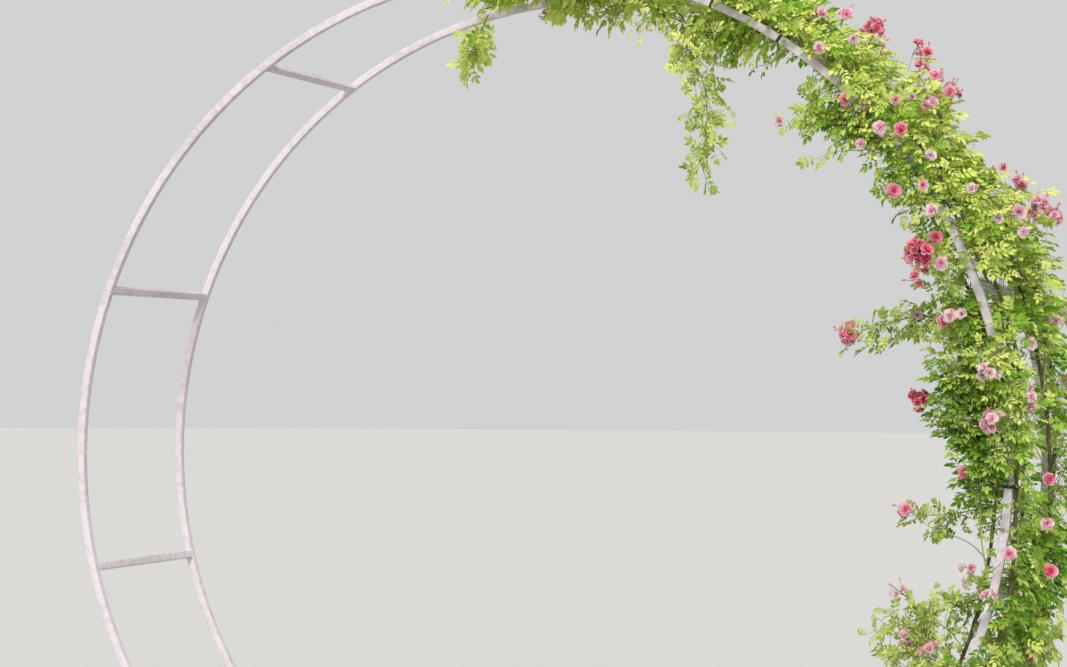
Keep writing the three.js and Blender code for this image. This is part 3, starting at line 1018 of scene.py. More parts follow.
# %% A bloom
PETAL_STATIONS = ((0.0, 0.14), (0.6, 0.5), (1.0, 0.42))  # along a petal, and half its width there
PETAL_THICKNESS = 0.5 * MM
SIDE_CUP, TIP_DROP, CORNER_BACK = 0.44, 0.1, 0.1  # what rounds off a petal
PETAL_SHIFT, PETAL_SWAY, PETAL_SIZES = 0.14, 13, (0.84, 1.12)  # how uneven petals are
PETAL_FOOT, RING_RISE = 0.8, 0.4  # mm from the bloom's middle, and mm up from ring to ring
BARREL_SIDES, ALL_GREEN = 6, 1


def petal(length, width, cup, layer):
    """A petal along X, cupped upwards."""
    points, values = [], []
    for along, half in PETAL_STATIONS:
        for side in (-1, 0, 1):
            rise = (
                cup * length * along ** 2 + SIDE_CUP * width * half * side ** 2
                - TIP_DROP * length * along ** 6)
            back = CORNER_BACK * length * abs(side) * along
            points.append((along * length - back, side * half * width, rise))
            values.append((along, layer, 0))
    along = PETAL_STATIONS[1][0]
    points.append((along * length, 0, cup * length * along ** 2 - PETAL_THICKNESS))
    values.append((along, layer, 0))
    faces = []
    for row in range(2):
        for column in range(2):
            a = 3 * row + column
            face = (a, a + 3, a + 4, a + 1)
            faces.append(face)
            faces.append(tuple({4: 9}.get(index, index) for index in reversed(face)))
    return points, faces, values


def barrel(rows, petal_from):
    """A closed round shape from pairs of height and radius: green below petal_from."""
    sides = BARREL_SIDES
    points, values = [(0, 0, rows[0][0])], [(0, 0, 1)]
    for height, radius in rows[1:-1]:
        for side in range(sides):
            turn = math.tau * side / sides
            points.append((radius * math.cos(turn), radius * math.sin(turn), height))
            values.append((0.4, 0.5, float(height < petal_from)))
    points.append((0, 0, rows[-1][0]))
    values.append((0.8, 0.5, float(rows[-1][0] < petal_from)))
    faces = [(0, 1 + (side + 1) % sides, 1 + side) for side in range(sides)]
    for row in range(len(rows) - 3):
        for side in range(sides):
            a = 1 + row * sides + side
            b = 1 + row * sides + (side + 1) % sides
            faces.append((a, b, b + sides, a + sides))
    last, base = len(points) - 1, len(points) - 1 - sides
    faces += [(base + side, base + (side + 1) % sides, last) for side in range(sides)]
    return points, faces, values


HIP = [(-8 * MM, 0), (-6.5 * MM, 2 * MM), (-3 * MM, 3 * MM), (0.5 * MM, 2.4 * MM), (1 * MM, 0)]
BUD = [
    (-7 * MM, 0), (-5 * MM, 1.8 * MM), (-1.5 * MM, 3.2 * MM), (3 * MM, 4 * MM),
    (7 * MM, 2.8 * MM), (11 * MM, 0)]
SEPAL_TOP = 2 * MM


def bloom(name, rings, chance):
    """Rings are (petals, length, width, degrees from upright, cup), from the outside in."""
    flower = Pattern()
    flower.add(*barrel(HIP, ALL_GREEN))
    for number, (count, length, width, lean, cup) in enumerate(rings):
        layer = 1 - number / (len(rings) - 1)
        for index in range(count):
            shift = 0.5 * (number % 2) + chance.uniform(-PETAL_SHIFT, PETAL_SHIFT)
            turn = math.tau * (index + shift) / count
            rise = -math.radians(90 - lean + chance.uniform(-PETAL_SWAY, PETAL_SWAY))
            size = chance.uniform(*PETAL_SIZES)
            foot = Matrix.Translation((PETAL_FOOT * MM, 0, number * RING_RISE * MM))
            shape = petal(length * size * MM, width * size * MM, cup, layer)
            flower.add(*shape, turned_about("Z", turn) @ foot @ turned_about("Y", rise))
    return flower.build(name, "petal")


BLOOMS = {
    "Open bloom": bloom("open_bloom", [
        (8, 20, 16, 84, 0.1), (7, 18, 15, 68, 0.16), (7, 15, 13, 52, 0.22), (6, 12, 10, 34, 0.3),
        (4, 9, 8, 14, 0.3)], chance),
    "Half-open bloom": bloom("half_open_bloom", [
        (7, 18, 15, 60, 0.2), (6, 15, 13, 44, 0.28), (5, 13, 10, 28, 0.3),
        (3, 10, 8, 10, 0.3)], chance),
}
bud = Pattern()
bud.add(*barrel(BUD, SEPAL_TOP))
BLOOMS["Bud"] = bud.build("bud", "petal")
print("Faces of each bloom:", [len(pattern.data.polygons) for pattern in BLOOMS.values()])

# %% [markdown]
# One tree turns lines into roses. It carries a round section along each line for the stem, and
# puts leaves at equal steps where the attribute leafy allows it. A leaf leaves its stem at the
# golden angle to the last one, leans away from it, and then turns its face partly to the light,
# which comes from above and from the side of the arch that it grows on. The leaves towards the
# back are larger. Blooms and buds go on the loose points, and look the way that facing says.

# %% The tree that grows roses
GOLDEN_ANGLE = math.radians(137.5)
SPIN_SPREAD, LEAN_SPREAD, ROLL_SPREAD = 0.5, 0.35, 0.45  # radians either way
# The way to the light: shares of the way from the arch's middle, and a part that is fixed.
LIGHT_BY_PLACE, LIGHT_ANYWHERE = (0.3, 1.6, 0.3), (0.05, -0.15, 0.5)
TIP_FROM, TIP_SHRINK = 0.6, 0.45  # leaves shrink from this youth on, and by this share
BEHIND_FROM, BEHIND_TO = -0.26, 0.02  # metres behind the middle, where leaves get larger
# A leaf's tone is partly random and partly set by its place. The part set by place is painted light and
# shade: leaves higher up and further outside the ring get lighter greens, and leaves inside and low get
# deeper greens.
PAINTED_LIGHT_SHARE, TONE_BY_CHANCE, TONE_POWER = 0.45, 0.55, 1.6
PAINTED_LIGHT_HEIGHT_WEIGHT, PAINTED_LIGHT_FROM, PAINTED_LIGHT_TO = 0.32, -0.15, 0.4
FULL_TURN = 6.28
LEAF_SPACING, LEAF_SIZE, CLUSTER_LEAF_SIZE = 0.02, 0.66, 0.64
rose_tree, given = new_tree("Roses on lines", {
    "Stem sides": "Int", "Leaf spacing": "Float", "Leaf size": "Float", "Larger behind": "Float",
    "Size spread": "Float", "Lean": "Float", "To the light": "Float", "Middle": "Vector",
    "Radius": "Float", "Seed": "Int", **{label: "Object" for label in (*LEAVES, *BLOOMS)},
    "Bark": "Material", "Leaves": "Material", "Petals": "Material"})
g = rose_tree


def chance_value(low, high, salt, kind="FLOAT"):
    return g.node("FunctionNodeRandomValue", {"data_type": kind}, {
        "Min": low, "Max": high, "Seed": given["Seed"] + salt})


def turn_by(rotation, axis, angle):
    about = g.node("FunctionNodeAxisAngleToRotation", {}, {"Axis": axis, "Angle": angle})
    return g.node("FunctionNodeRotateRotation", {"rotation_space": "LOCAL"}, {
        "Rotation": rotation, "Rotate By": about})


def aim(axis, vector, rotation=None, factor=1.0):
    values = {"Vector": vector, "Factor": factor}
    if rotation is not None:
        values["Rotation"] = rotation
    return g.node("FunctionNodeAlignRotationToVector", {"axis": axis}, values)


def pattern_of(label):
    return g.node("GeometryNodeObjectInfo", {}, {"Object": given[label]}, "Geometry")


lines = g.lines(given["Geometry"])
stems = scaled_tube(g, lines, g.attribute("thick"), given["Stem sides"])

steps = g.node("GeometryNodeResampleCurve", {"mode": "LENGTH"}, {
    "Curve": lines, "Length": given["Leaf spacing"]})
spots = g.node("GeometryNodeCurveToPoints", {"mode": "EVALUATED"}, {"Curve": steps})
tangent = Wire(g, g.find(spots.socket.node.outputs, "Tangent"))
spin = g.node("GeometryNodeInputIndex") * GOLDEN_ANGLE + chance_value(-SPIN_SPREAD, SPIN_SPREAD, 1)
leaf_turn = turn_by(aim("Z", tangent), (0, 0, 1), spin)
lean = given["Lean"] * -1 + chance_value(-LEAN_SPREAD, LEAN_SPREAD, 2)
leaf_turn = turn_by(leaf_turn, (0, 1, 0), lean)
from_middle = g.vector_maths("SUBTRACT", g.node("GeometryNodeInputPosition"), given["Middle"])
light = g.vector_maths("MULTIPLY", from_middle, LIGHT_BY_PLACE)
light = g.vector_maths("ADD", light, LIGHT_ANYWHERE)
leaf_turn = aim("Z", light, leaf_turn, given["To the light"])
leaf_turn = turn_by(leaf_turn, (1, 0, 0), chance_value(-ROLL_SPREAD, ROLL_SPREAD, 3))
shrink = 1 - g.share(g.attribute("young"), TIP_FROM, 1.0) * TIP_SHRINK
x, y, z = [g.node("ShaderNodeSeparateXYZ", {}, {"Vector": from_middle}, out) for out in range(3)]
larger = g.share(y, BEHIND_FROM, BEHIND_TO) * given["Larger behind"] + 1
uneven = 1 + chance_value(-1.0, 1.0, 4) * given["Size spread"]
patterns = [
    g.node("GeometryNodeGeometryToInstance", {}, {"Geometry": pattern_of(label)})
    for label in LEAVES]
leaves = g.node("GeometryNodeInstanceOnPoints", {}, {
    "Points": spots, "Instance": g.join(*patterns), "Pick Instance": True,
    "Selection": g.node("FunctionNodeCompare", {}, {"A": g.attribute("leafy"), "B": 0.5}),
    "Instance Index": chance_value(0, len(LEAVES) - 1, 5, "INT"), "Rotation": leaf_turn,
    "Scale": given["Leaf size"] * shrink * larger * uneven})
# Painted light and shade on the leaves: tone grows with height and with the distance outside the ring. The
# rest of the tone is random.
outside = (x * x + z * z) ** 0.5 - given["Radius"]
painted_light = g.share(outside + z * PAINTED_LIGHT_HEIGHT_WEIGHT, PAINTED_LIGHT_FROM, PAINTED_LIGHT_TO) * PAINTED_LIGHT_SHARE
tone = painted_light + chance_value(0.0, 1.0, 6) ** TONE_POWER * TONE_BY_CHANCE
leaves = g.node("GeometryNodeStoreNamedAttribute", {"domain": "INSTANCE"}, {
    "Geometry": leaves, "Name": "tone", "Value": tone})

heads = g.node("GeometryNodeMeshToPoints", {}, {"Mesh": given["Geometry"]})
head_turn = aim("Z", g.attribute("facing", "FLOAT_VECTOR"))
head_turn = turn_by(head_turn, (0, 0, 1), chance_value(0.0, FULL_TURN, 7))
flowers = []
for number, label in enumerate(BLOOMS):
    other_kind = g.attribute("kind") - number
    other_kind = other_kind.maths("ABSOLUTE", other_kind)
    flowers.append(g.node("GeometryNodeInstanceOnPoints", {}, {
        "Points": heads, "Selection": other_kind.maths("LESS_THAN", other_kind, 0.5),
        "Instance": pattern_of(label), "Rotation": head_turn, "Scale": g.attribute("size")}))
g.end(g.join(
    g.dressed(stems, given["Bark"]), g.dressed(leaves, given["Leaves"]),
    g.dressed(g.join(*flowers), given["Petals"])))
ROSE_LOOKS = {
    "Stem sides": 4, "Leaf spacing": LEAF_SPACING, "Larger behind": 0.4, "Size spread": 0.2,
    "Lean": math.radians(28), "To the light": 0.45, "Middle": CENTRE, "Radius": RADIUS,
    **LEAVES, **BLOOMS, "Bark": BARK, "Leaves": LEAF, "Petals": PETAL}


def grow(name, growth, nodes, seed, size=LEAF_SIZE):
    """One piece of the rose: its stems, leaves and blooms."""
    settings = {**ROSE_LOOKS, "Seed": seed, "Leaf size": size}
    piece = run_tree(name, rose_tree, settings, growth.mesh(name))
    soften(piece.data, 100)
    settle(piece, nodes)


# %% [markdown]
# A shoot is a curve from the nearest cane to where its tip should be. It leaves the cane half the
# way that the cane grows, and arrives rising or hanging. Two things keep the leaves in place:
# each starts well inside the CAD model's box, and the stretches of the frame that show bare in
# the photograph stay bare.

# %% Shoots
LEAF_ROOM = 0.068  # metres from a leaf's foot to the sides of the CAD model's box
BACK_ROOM = 0.082  # the same at the back, where the leaves are larger
SHOWN = [  # frame that stays bare: from and to, each as degrees and depth, and metres kept clear
    ((48.5, FRONT), (66, FRONT), 0.038), ((15, FRONT), (28, FRONT), 0.038),
    ((-17.5, FRONT), (-0.5, FRONT), 0.038),
    ((TOP - 2 * BAY_ANGLE, -0.3), (TOP - 2 * BAY_ANGLE, 0.15), 0.055),
    ((8, BACK), (14, BACK), 0.03), ((-4, BACK), (4, BACK), 0.03),
    ((96.5, BACK), (101.5, BACK), 0.035),
]
SPOTS_A_STRETCH = 40
SHOOT_STEP = 0.03
SHOOT_BEHIND = 0.1  # metres back along the ring from a tip to where its shoot leaves the cane
SHOOT_START, SHOOT_END = 1.8 * MM, 0.7 * MM  # the radius at its foot and its tip
LEAVING, ARRIVING = 0.4, 0.35  # the pull of both ends, as shares of a shoot's reach
BARE_LENGTH = 0.02
low_corner, high_corner = [Vector(corner) for corner in cad_box]

shown_spots = []
for (first, near), (last, far), margin in SHOWN:
    for number in range(SPOTS_A_STRETCH):
        share = number / (SPOTS_A_STRETCH - 1)
        sight = place(first + (last - first) * share, 0, near + (far - near) * share) - EYE
        shown_spots.append((sight.normalized(), sight.length, margin))


def hides_frame(point):
    """Whether a leaf here would come before a bare stretch of the frame, as the camera sees it."""
    sight = point - EYE
    for way, distance, margin in shown_spots:
        along = sight.dot(way)
        if along < distance and (sight - way * along).length < margin:
            return True
    return False


def has_room(point):
    sides = zip(point, low_corner, high_corner, (LEAF_ROOM, BACK_ROOM, LEAF_ROOM))
    return all(low + LEAF_ROOM < value < high - room for value, low, high, room in sides)


def curve(start, leave, target, arrive, step=SHOOT_STEP):
    """Points of a curve that leaves its start one way and arrives at its target another way."""
    b, c = start + leave, target - arrive
    count = max(4, round((target - start).length / step))
    points = []
    for number in range(count + 1):
        t = number / count
        u = 1 - t
        points.append(start * u ** 3 + b * 3 * u * u * t + c * 3 * u * t * t + target * t ** 3)
    return points


def nearest_cane(target):
    """The best place on a cane for a shoot to this target, a little behind it on the cane."""
    behind = target - onward(where(target)[0]) * SHOOT_BEHIND
    return min(cane_spots, key=lambda spot: (spot[0] - behind).length_squared)


def shoot(growth, target, lift, bare=0.3, young=0.6, thick=SHOOT_START, root=None):
    """Adds a shoot to a target. Lift is above 0 where its tip rises, and below 0 where it hangs."""
    start, heading = root or nearest_cane(target)
    gap = (target - start).length
    way = (target - start).normalized()
    leave = (heading * 0.5 + way * 0.7) * gap * LEAVING
    arrive = (way * 0.6 + Vector((0, 0, lift))).normalized() * gap * ARRIVING
    points = wavering(curve(start, leave, target, arrive), 6 * MM, 11)
    points[0] = start
    bare = max(bare, BARE_LENGTH / max(gap, BARE_LENGTH))
    growth.line(points, (thick, SHOOT_END), (0.15, young), lambda share, point: float(
        share > bare and has_room(point) and not hides_frame(point)))
    return points


# %% [markdown]
# The leafy mass has the same plan as the CAD model's foliage: rows of lumps along the ring, with
# a lobe round each ring and one over the crossbars, and some masses that stand out, most of them
# inside the arch. Each lump is filled with shoots whose tips lie just under its skin, so the
# leaves make its shape. A few long new shoots go further and break up the outline. COVERED adds
# shoots over stretches that leaves should hide, and SPARSE takes some away where the photograph
# shows more gaps.

# %% Masses of leaves
FIRST_ROW, LAST_ROW, LUMP_ANGLE, LUMP_LENGTH = -33, 93, 9, 185
# Lobes: degrees on, mm outside and behind the middle, half the height and width, and shoots.
LOBES = [
    (0, 25, -290, 108, 128, 15), (LUMP_ANGLE / 2, 68, 0, 84, 225, 37), (0, 25, 285, 108, 128, 16),
]
FULLNESS = [(-33, 1), (-12, 0.86), (5, 1), (44, 1), (57, 0.9), (66, 1), (84, 0.92), (98, 0.85)]
LUMP_JITTER = {"radial": 26, "across": 24, "size": 0.14}
SEEDS = {"size": 1, "radial": 101, "across": 201}
# Swells: degrees, mm outside and behind, half the height, width and length, and shoots.
SWELLS = [
    (101, 18, 285, 82, 100, 115, 16), (86, -45, 245, 62, 110, 220, 18),
    (65, -80, -275, 85, 95, 150, 30), (45, 132, -290, 92, 115, 220, 14),
    (48, -118, -325, 60, 80, 95, 14), (44, -92, -330, 85, 85, 115, 14),
    (35, -60, -370, 78, 75, 150, 16), (26, 142, -190, 90, 125, 200, 15),
    (17, -75, -325, 85, 85, 120, 18), (9, -125, -320, 140, 100, 185, 50),
    (1, -72, -335, 85, 85, 115, 23), (-24, -140, -320, 130, 100, 150, 17),
    (-33, -120, -280, 130, 100, 125, 14),
]
STRAYS = 2  # new shoots from each lump that grow beyond its skin
UNDER_SKIN = 34  # mm from the tips to the skin of a lump
# Covered: degrees, mm outside and mm behind, each from and to, and the shoots for a degree.
COVERED = [
    (-35, -18, -70, 100, -440, -380, 1.6), (0.5, 14, -50, 60, -440, -380, 3),
    (15, 28, 60, 120, -440, -380, 1), (16, 30, -105, -62, -340, -220, 1.5),
    (28, 41, -70, 100, -440, -380, 2), (41, 47, -50, 70, -440, -380, 3),
    (-20, 0, 35, 80, -410, -340, 0.7), (-22, 12, 0, 130, -260, 80, 1.3),
    (-4, 22, -150, -60, -400, -250, 1.2), (47, 60, 45, 95, -430, -360, 1.4),
    (60, 68, 60, 100, -440, -380, 1.2), (58, 70, -115, -40, -360, -280, 2),
    (-32, -14, -50, 70, 360, 384, 1.4), (2, 29, -50, 70, 360, 384, 1.2),
    (40, 62, -40, 70, 360, 384, 1.1), (72, 90, -30, 60, 355, 384, 1),
]
# Sparse: between two angles, this share of the shoots.
SPARSE = [(-45, -3, 0.78), (7, 34, 0.88), (37, 60, 0.68)]
PIECE_COUNT, PIECE_START, PIECE_END = 8, -45, 111
SKIN_POWER, STRAY_POWER, STRAY_REACH = 0.2, 0.05, 45
SUNLIT_ABOVE, SUNLIT_BELOW, SUNLIT_OUTSIDE, RISES_BELOW = 75, -15, 100, 25
RISING, HANGING, FRESH, SHADED = (0.1, 0.9), (-0.9, 0.1), (0.5, 1.0), (0.0, 0.7)
MASS_SEED, MASS_LEAF_SEED = 21, 100


def jitter(seed):
    """A number from -1 to 1 that looks random. The CAD model places its lumps with the same one."""
    value = math.sin(seed * 12.9898) * 43758.5453
    return 2 * (value - math.floor(value)) - 1


def fullness(degrees):
    for (first, low), (last, high) in zip(FULLNESS, FULLNESS[1:]):
        if degrees <= last:
            return low + (high - low) * max(0.0, (degrees - first) / (last - first))
    return FULLNESS[-1][1]


def share_of_shoots(degrees):
    return next((share for first, last, share in SPARSE if first < degrees < last), 1)


def ball(chance, power=0.33):
    """A random step of up to 1 in any direction. A low power keeps it near the skin."""
    step = Vector([chance.gauss(0, 1) for _ in range(3)]).normalized()
    return step * chance.random() ** power


masses = [Growth() for _ in range(PIECE_COUNT)]


def piece_at(degrees):
    """The piece of the mass that grows at this angle."""
    piece = int((degrees - PIECE_START) / (PIECE_END - PIECE_START) * PIECE_COUNT)
    return masses[max(0, min(PIECE_COUNT - 1, piece))]


def fill(lump, count, chance):
    """Shoots whose tips lie under the skin of a lump, and some that leave it."""
    degrees, outside, depth, *halves = lump
    sunlit = degrees > SUNLIT_ABOVE or degrees < SUNLIT_BELOW or outside > SUNLIT_OUTSIDE
    middle = place(degrees, outside * MM, depth * MM)
    axes = [outward(degrees), Vector((0, 1, 0)), onward(degrees)]
    for number in range(count + STRAYS):
        stray = number >= count
        reach = STRAY_REACH if stray else -UNDER_SKIN
        step = ball(chance, STRAY_POWER if stray else SKIN_POWER)
        if stray and outside > 0:
            step.x = abs(step.x)
        target = middle.copy()
        for axis, part, half in zip(axes, step, halves):
            target += axis * part * (half + reach) * MM
        if hides_frame(target):
            continue
        angle, above, _ = where(target)
        lift = chance.uniform(*(RISING if above > 0 or degrees < RISES_BELOW else HANGING))
        fresh = chance.uniform(*(FRESH if stray or sunlit else SHADED))
        shoot(piece_at(angle), target, lift, young=fresh)


chance = random.Random(MASS_SEED)
rows = round((LAST_ROW - FIRST_ROW) / LUMP_ANGLE) + 1
for row in range(rows):
    for index, (shift, outside, depth, height, width, shoots) in enumerate(LOBES):
        degrees, turn = FIRST_ROW + row * LUMP_ANGLE + shift, row * len(LOBES) + index
        size = fullness(degrees) * (1 + LUMP_JITTER["size"] * jitter(SEEDS["size"] + turn))
        lump = (
            degrees, outside + LUMP_JITTER["radial"] * jitter(SEEDS["radial"] + turn),
            depth + LUMP_JITTER["across"] * jitter(SEEDS["across"] + turn),
            height * size, width, LUMP_LENGTH * size)
        fill(lump, round(shoots * share_of_shoots(degrees)), chance)
for *swell, shoots in SWELLS:
    fill(swell, shoots, chance)
for first, last, inner, outer, near, far, a_degree in COVERED:
    for number in range(round((last - first) * a_degree)):
        degrees = chance.uniform(first, last)
        target = place(degrees, chance.uniform(inner, outer) * MM, chance.uniform(near, far) * MM)
        lift = chance.uniform(-0.6, 0.6)
        shoot(piece_at(degrees), target, lift, young=chance.uniform(0.1, 0.8))
for number, mass in enumerate(masses, 1):
    seed = MASS_LEAF_SEED + number - 1
    grow(f"leaves_{number}", mass, [f"foliage_{number}"], seed)

# %% [markdown]
# Five sprays leave the mass. Each is a long shoot close to the CAD model's route, with short side
# shoots all round it, so it looks feathery from below as well as from the side.

# %% Sprays
SPRAYS = {
    "top_left": [(103.2, -5, 295), (106.3, -92, 300), (107.8, -142, 300)],
    "hanging": [(75, -40, -250), (66.5, -180, -255), (61, -330, -258), (58, -490, -260)],
    "inner": [(17, -60, -250), (20, -230, -220), (21, -400, -200)],
    "middle": [(-4, -35, -260), (-6, -180, -230), (-7.5, -330, -220)],
    "low": [(-15, -40, -260), (-19, -170, -270), (-24, -300, -280)],
}
SIDE_SHOOTS = {  # how far they reach, and how many leave each point
    "top_left": (0.04, 6), "hanging": (0.09, 3), "inner": (0.075, 3), "middle": (0.05, 2),
    "low": (0.11, 4)}
SPRAY_STEP, SPRAY_ENDS = 0.025, (2.6 * MM, 0.9 * MM)
SPRAY_SEED, SPRAY_LEAF_SEED = 40, 200
for number, (name, stops) in enumerate(SPRAYS.items()):
    chance = random.Random(SPRAY_SEED + number)
    growth = Growth()
    reach, count = SIDE_SHOOTS[name]
    points = wavering(follow(stops, SPRAY_STEP), 6 * MM, 8)
    growth.line(points, SPRAY_ENDS, (0.15, 0.8), lambda share, point: float(share > 0.05))
    for index in range(1, len(points) - 2):
        along = (points[index + 1] - points[index]).normalized()
        for _ in range(count):
            size = reach * (1.15 - 0.6 * index / len(points))
            tip = points[index] + along * 0.02 + ball(chance) * size - Vector((0, 0, 0.015))
            if tip.z > SHOOTS_ABOVE:
                root = (points[index], along)
                shoot(growth, tip, -0.2, bare=0.25, young=0.85, thick=1.2 * MM, root=root)
    seed = SPRAY_LEAF_SEED + number
    grow(f"leafy_spray_{name}", growth, [f"spray_{name}"], seed)

# %% [markdown]
# The first two tables follow the roses that the photograph shows. The third is guessed, and most
# of it is at the back. Each row of the tables is one bunch: its angle, its distance outside the
# ring, its depth, how many blooms it has, its tone from pale to crimson, and how far it spreads.
# A bunch grows on a shoot from the nearest cane, and each bloom has a stalk of its own. The
# largest clusters of the arch are three or four bunches side by side.

# %% Clusters of roses
NAMED_CLUSTERS = {
    "high_outer": [(50, 180, -260, 8, 0.75, 32)],
    "high_front": [(39.5, 150, -385, 3, 0.4, 20)],
    "deep_pink": [
        (26.6, -101, -455, 7, 0.8, 20), (26.0, -124, -455, 6, 0.65, 18),
        (25.8, -86, -460, 7, 0.9, 20), (24.7, -98, -450, 6, 1.0, 17),
    ],
    "right_outer": [
        (26, 230, -150, 7, 0.5, 28), (24.8, 256, -150, 4, 0.45, 20),
        (25.6, 198, -150, 3, 0.5, 16),
    ],
    "inner_middle": [(9, -265, -270, 8, 0.95, 26)],
    "front_middle": [(5, -18, -475, 7, 0.4, 32)],
    "front_low": [(-14, 5, -460, 2, 0.4, 16)],
    "spray_end": [(21.2, -436, -200, 10, 0.75, 28)],
}
SMALL_CLUSTERS = [
    (53, 160, -300, 3, 0.4, 24), (57, 120, -100, 2, 0.4, 18), (50, 130, -380, 1, 0.35, 0),
    (52, 46, -420, 1, 0.4, 0), (47, 215, -50, 2, 0.65, 16), (45.5, 225, -100, 2, 0.7, 14),
    (44, 190, -200, 2, 0.65, 18), (42, 200, -250, 3, 0.45, 24), (40, 205, -200, 5, 0.5, 28),
    (42, 88, -420, 1, 0.45, 0), (41.5, 125, -350, 1, 0.25, 0), (46, -20, -420, 1, 0.6, 0),
    (44.5, -12, -400, 2, 0.3, 18), (40.5, 5, -460, 1, 0.45, 0), (39, 45, -440, 1, 0.7, 0),
    (41, -73, -420, 1, 0.4, 0), (35, 66, -420, 1, 0.2, 0), (34, -78, -440, 1, 0.7, 0),
    (32.5, 7, -470, 1, 0.65, 0), (30, 108, -360, 1, 0.25, 0), (29.5, -10, -480, 1, 0.2, 0),
    (31.5, 190, -100, 1, 0.7, 0), (29.5, 205, -60, 2, 0.5, 18), (26, 190, -300, 1, 0.4, 0),
    (24, 178, -300, 1, 0.2, 0), (26, 138, -380, 1, 0.2, 0), (27, -43, -420, 1, 0.75, 0),
    (23.3, -139, -440, 3, 0.75, 22), (24, -57, -450, 1, 0.45, 0), (20, -212, -250, 1, 0.25, 0),
    (18, -95, -400, 1, 0.4, 0), (17.8, -55, -430, 1, 0.12, 0), (17.8, -120, -385, 1, 0.6, 0),
    (10.6, -10, -480, 4, 0.2, 26), (13, 94, -300, 1, 0.3, 0), (15, 155, -100, 1, 0.5, 0),
    (7.2, 81, -420, 3, 0.35, 24), (-0.5, -120, -400, 1, 0.8, 0), (-6.4, -320, -220, 3, 0.55, 20),
    (-1.2, 96, -200, 1, 0.8, 0), (-5.4, 120, -360, 1, 0.3, 0), (-11.5, -82, -380, 2, 0.5, 16),
    (-13, -68, -380, 2, 0.1, 18), (-9, 34, -430, 1, 0.3, 0), (-17.6, -275, -280, 3, 0.3, 22),
    (-10.4, 140, -300, 1, 0.7, 0), (-22.6, -120, -350, 3, 0.55, 24), (-23, -205, -300, 2, 0.4, 18),
    (-20, 125, -150, 2, 0.7, 20), (51, -200, -360, 1, 0.3, 0), (95.5, -47, 320, 2, 0.9, 20),
]
BACK_CLUSTERS = [
    (-32, 150, 330, 3, 0.4, 24), (-22, 120, 390, 2, 0.3, 20), (-12, 130, 300, 4, 0.6, 28),
    (-4, -90, 390, 2, 0.5, 20), (2, 150, 360, 3, 0.3, 24), (9, 80, 392, 5, 0.7, 30),
    (16, 150, 200, 2, 0.4, 18), (20, -60, 392, 3, 0.8, 24), (27, 140, 385, 4, 0.35, 28),
    (33, 120, 100, 2, 0.5, 20), (38, -50, 390, 2, 0.3, 20), (44, 120, 380, 4, 0.6, 28),
    (52, 130, 150, 3, 0.4, 24), (58, 60, 395, 2, 0.7, 18), (66, 110, 250, 3, 0.3, 22),
    (76, 90, 380, 2, 0.5, 18), (86, 90, 120, 2, 0.4, 18), (-35, -80, -300, 2, 0.5, 20),
    (72, 100, -250, 2, 0.4, 20), (-28, 160, -200, 3, 0.35, 22), (3, 150, 0, 3, 0.5, 22),
]
BLOOM_SPACING, MOST_TRIES = 0.017, 600
STALK_STEP, STALK_LEAVING, STALK_ARRIVING = 0.012, 0.015, 0.012
BLOOM_STALK, BUD_STALK = (0.9 * MM, 0.8 * MM), (0.8 * MM, 0.7 * MM)  # radius at both ends
BLOOM_FOOT = 0.005  # a bloom's hip, where its stalk ends
HALF_OPEN_SHARE, BUD_KIND = 0.35, 2.0
BLOOM_SIZES, BUD_SIZES, SINGLE_LARGER, TONE_SPREAD = (0.8, 1.08), (0.55, 0.85), 0.1, 0.15
CLUSTER_SEED, CLUSTER_LEAF_SEED, SMALL_LEAF_SEED = 60, 300, 400


def head(growth, stem, seat, way, foot, thick, young, **values):
    """A bloom or a bud, on a stalk of its own from the end of a stem."""
    rising = (stem[-1] - stem[-2]).normalized()
    growth.line(curve(
        stem[-1], rising * STALK_LEAVING, seat - way * foot, way * STALK_ARRIVING, STALK_STEP),
        thick, young)
    growth.add(seat, way, **values)


def flower_cluster(growth, row, chance):
    """Blooms at the end of a shoot, with some buds round them."""
    degrees, outside, depth, count, tone, spread = row
    middle = place(degrees, outside * MM, depth * MM)
    spread = spread * MM
    away = outward(degrees) * math.copysign(0.5, outside - 10)
    away += Vector((0.1, math.copysign(0.9, depth), 0.35))
    if count == 1 and depth < 0:
        away = (EYE - middle).normalized()
    facing = (away + ball(chance) * 0.3).normalized()
    base = middle - facing * (0.035 + spread * 0.6)
    stem = shoot(growth, base, 0.2, bare=0.35, young=0.5, thick=1.7 * MM)
    seats = [(middle, facing)] if count == 1 else []
    tries = 0
    while len(seats) < count and tries < MOST_TRIES:
        tries += 1
        way = (facing * 0.7 + ball(chance) * 1.3).normalized()
        seat = middle + way * spread * chance.uniform(0.4, 1.0)
        free = all((seat - other).length > BLOOM_SPACING for other, _ in seats)
        if free and way.dot(facing) > -0.2:
            seats.append((seat, way))
    for seat, way in seats:
        head(
            growth, stem, seat, way, BLOOM_FOOT, BLOOM_STALK, (0.5, 0.7),
            kind=float(chance.random() < HALF_OPEN_SHARE),
            size=chance.uniform(*BLOOM_SIZES) + SINGLE_LARGER * (count == 1),
            tone=tone + chance.uniform(-TONE_SPREAD, TONE_SPREAD))
    for _ in range(chance.choice((1, 2, 3)) + (count > 2)):
        way = (facing + ball(chance) * 1.1 + Vector((0, 0, 0.2))).normalized()
        seat = middle + way * (spread + 0.02)
        size = chance.uniform(*BUD_SIZES)
        head(
            growth, stem, seat, way, 0, BUD_STALK, (0.6, 0.95),
            kind=BUD_KIND, size=size, tone=tone + 0.1)


def grow_clusters(name, rows, nodes, seed, leaf_seed):
    """One piece: the bunches of these rows."""
    growth, chance = Growth(), random.Random(seed)
    for row in rows:
        flower_cluster(growth, row, chance)
    grow(name, growth, nodes, leaf_seed, CLUSTER_LEAF_SIZE)


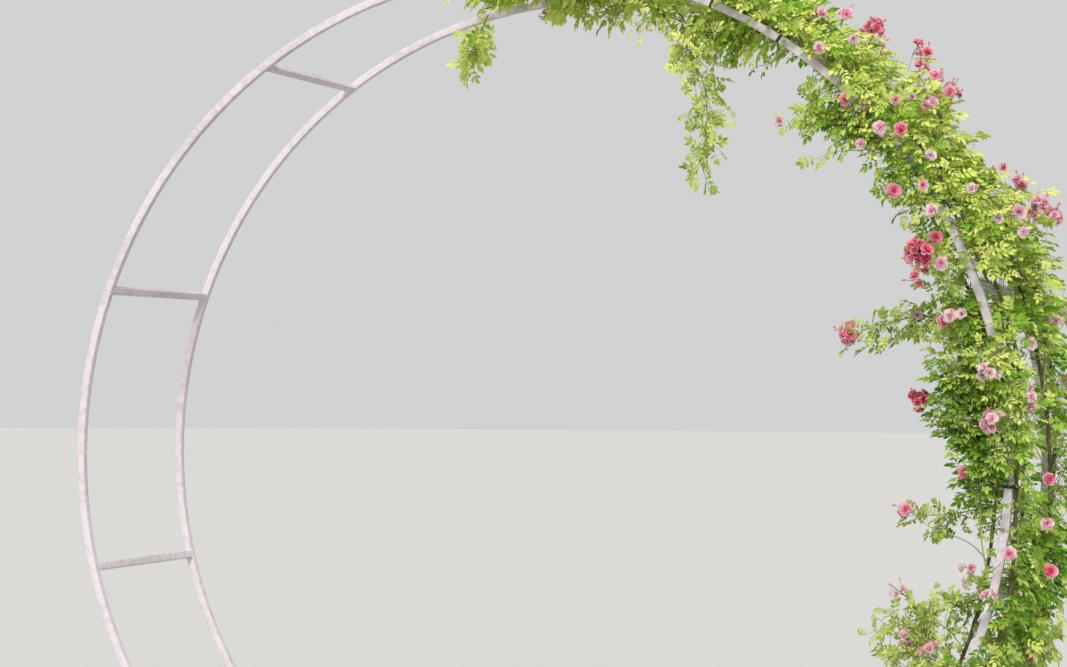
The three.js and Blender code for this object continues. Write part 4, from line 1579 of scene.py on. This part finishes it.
for number, (name, rows) in enumerate(NAMED_CLUSTERS.items()):
    nodes, leaf_seed = [f"roses_{name}"], CLUSTER_LEAF_SEED + number
    grow_clusters(f"cluster_{name}", rows, nodes, CLUSTER_SEED + number, leaf_seed)
for label, rows in (("front", SMALL_CLUSTERS), ("back", BACK_CLUSTERS)):
    leaf_seed = SMALL_LEAF_SEED + len(rows)
    grow_clusters(f"small_clusters_{label}", rows, [], len(rows), leaf_seed)

for pattern in (*LEAVES.values(), *BLOOMS.values()):
    bpy.data.objects.remove(pattern)

# %% [markdown]
# The stage is a pale floor, with soft light from all round. The main light comes from high in
# front, a little from the right. It is a broad sun, so its shadows are soft. A weak one from the
# left, nearly level, lightens them.

# %% Floor and light
FLOOR_RADIUS, FLOOR_SIDES = 60, 96
floor = add_object("floor", bpy.data.meshes.new("floor"))
with edited(floor.data) as work:
    bmesh.ops.create_circle(work, cap_ends=True, radius=FLOOR_RADIUS, segments=FLOOR_SIDES)


def floor_recipe(s):
    cloud = s.noise(0.6, 2)
    return {
        "Base Color": s.mix(cloud, shade(190, 190, 188), shade(198, 197, 194)),
        "Roughness": 0.85 + cloud * 0.05,
    }


floor.data.materials.append(material("pale_floor", floor_recipe))
floor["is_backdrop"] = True

world = bpy.data.worlds.new("soft_light")
bpy.context.scene.world = world
world.use_nodes = True
background = world.node_tree.nodes["Background"]
background.inputs["Color"].default_value = (0.86, 0.87, 0.87, 1)
background.inputs["Strength"].default_value = 0.74


def sun(name, towards, strength, soft_degrees, tint):
    """A sun that shines this way."""
    data = bpy.data.lights.new(name, "SUN")
    data.energy = strength
    data.angle = math.radians(soft_degrees)
    data.color = tint
    lamp = add_object(name, data)
    lamp.rotation_euler = Vector(towards).to_track_quat("-Z", "Y").to_euler()


sun("key", (-0.3, 0.8, -0.75), 2.95, 20, (1.0, 0.98, 0.95))
sun("fill", (0.5, 0.9, -0.1), 0.6, 70, (0.97, 0.98, 1.0))

view = bpy.context.scene.view_settings
view.view_transform = "Standard"
view.look = "None"
view.exposure = 0.0

# %% [markdown]
# Last come the two sizes, so that they can be compared: the CAD model's box, and the box of
# everything that shows. The second is printed.

# %% Sizes and finish
sizes = {"cad": [list(corner) for corner in cad_box], "visual": [list(corner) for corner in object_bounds()]}
finished = [[round(value, 3) for value in corner] for corner in sizes["visual"]]
print("The finished arch spans", finished)
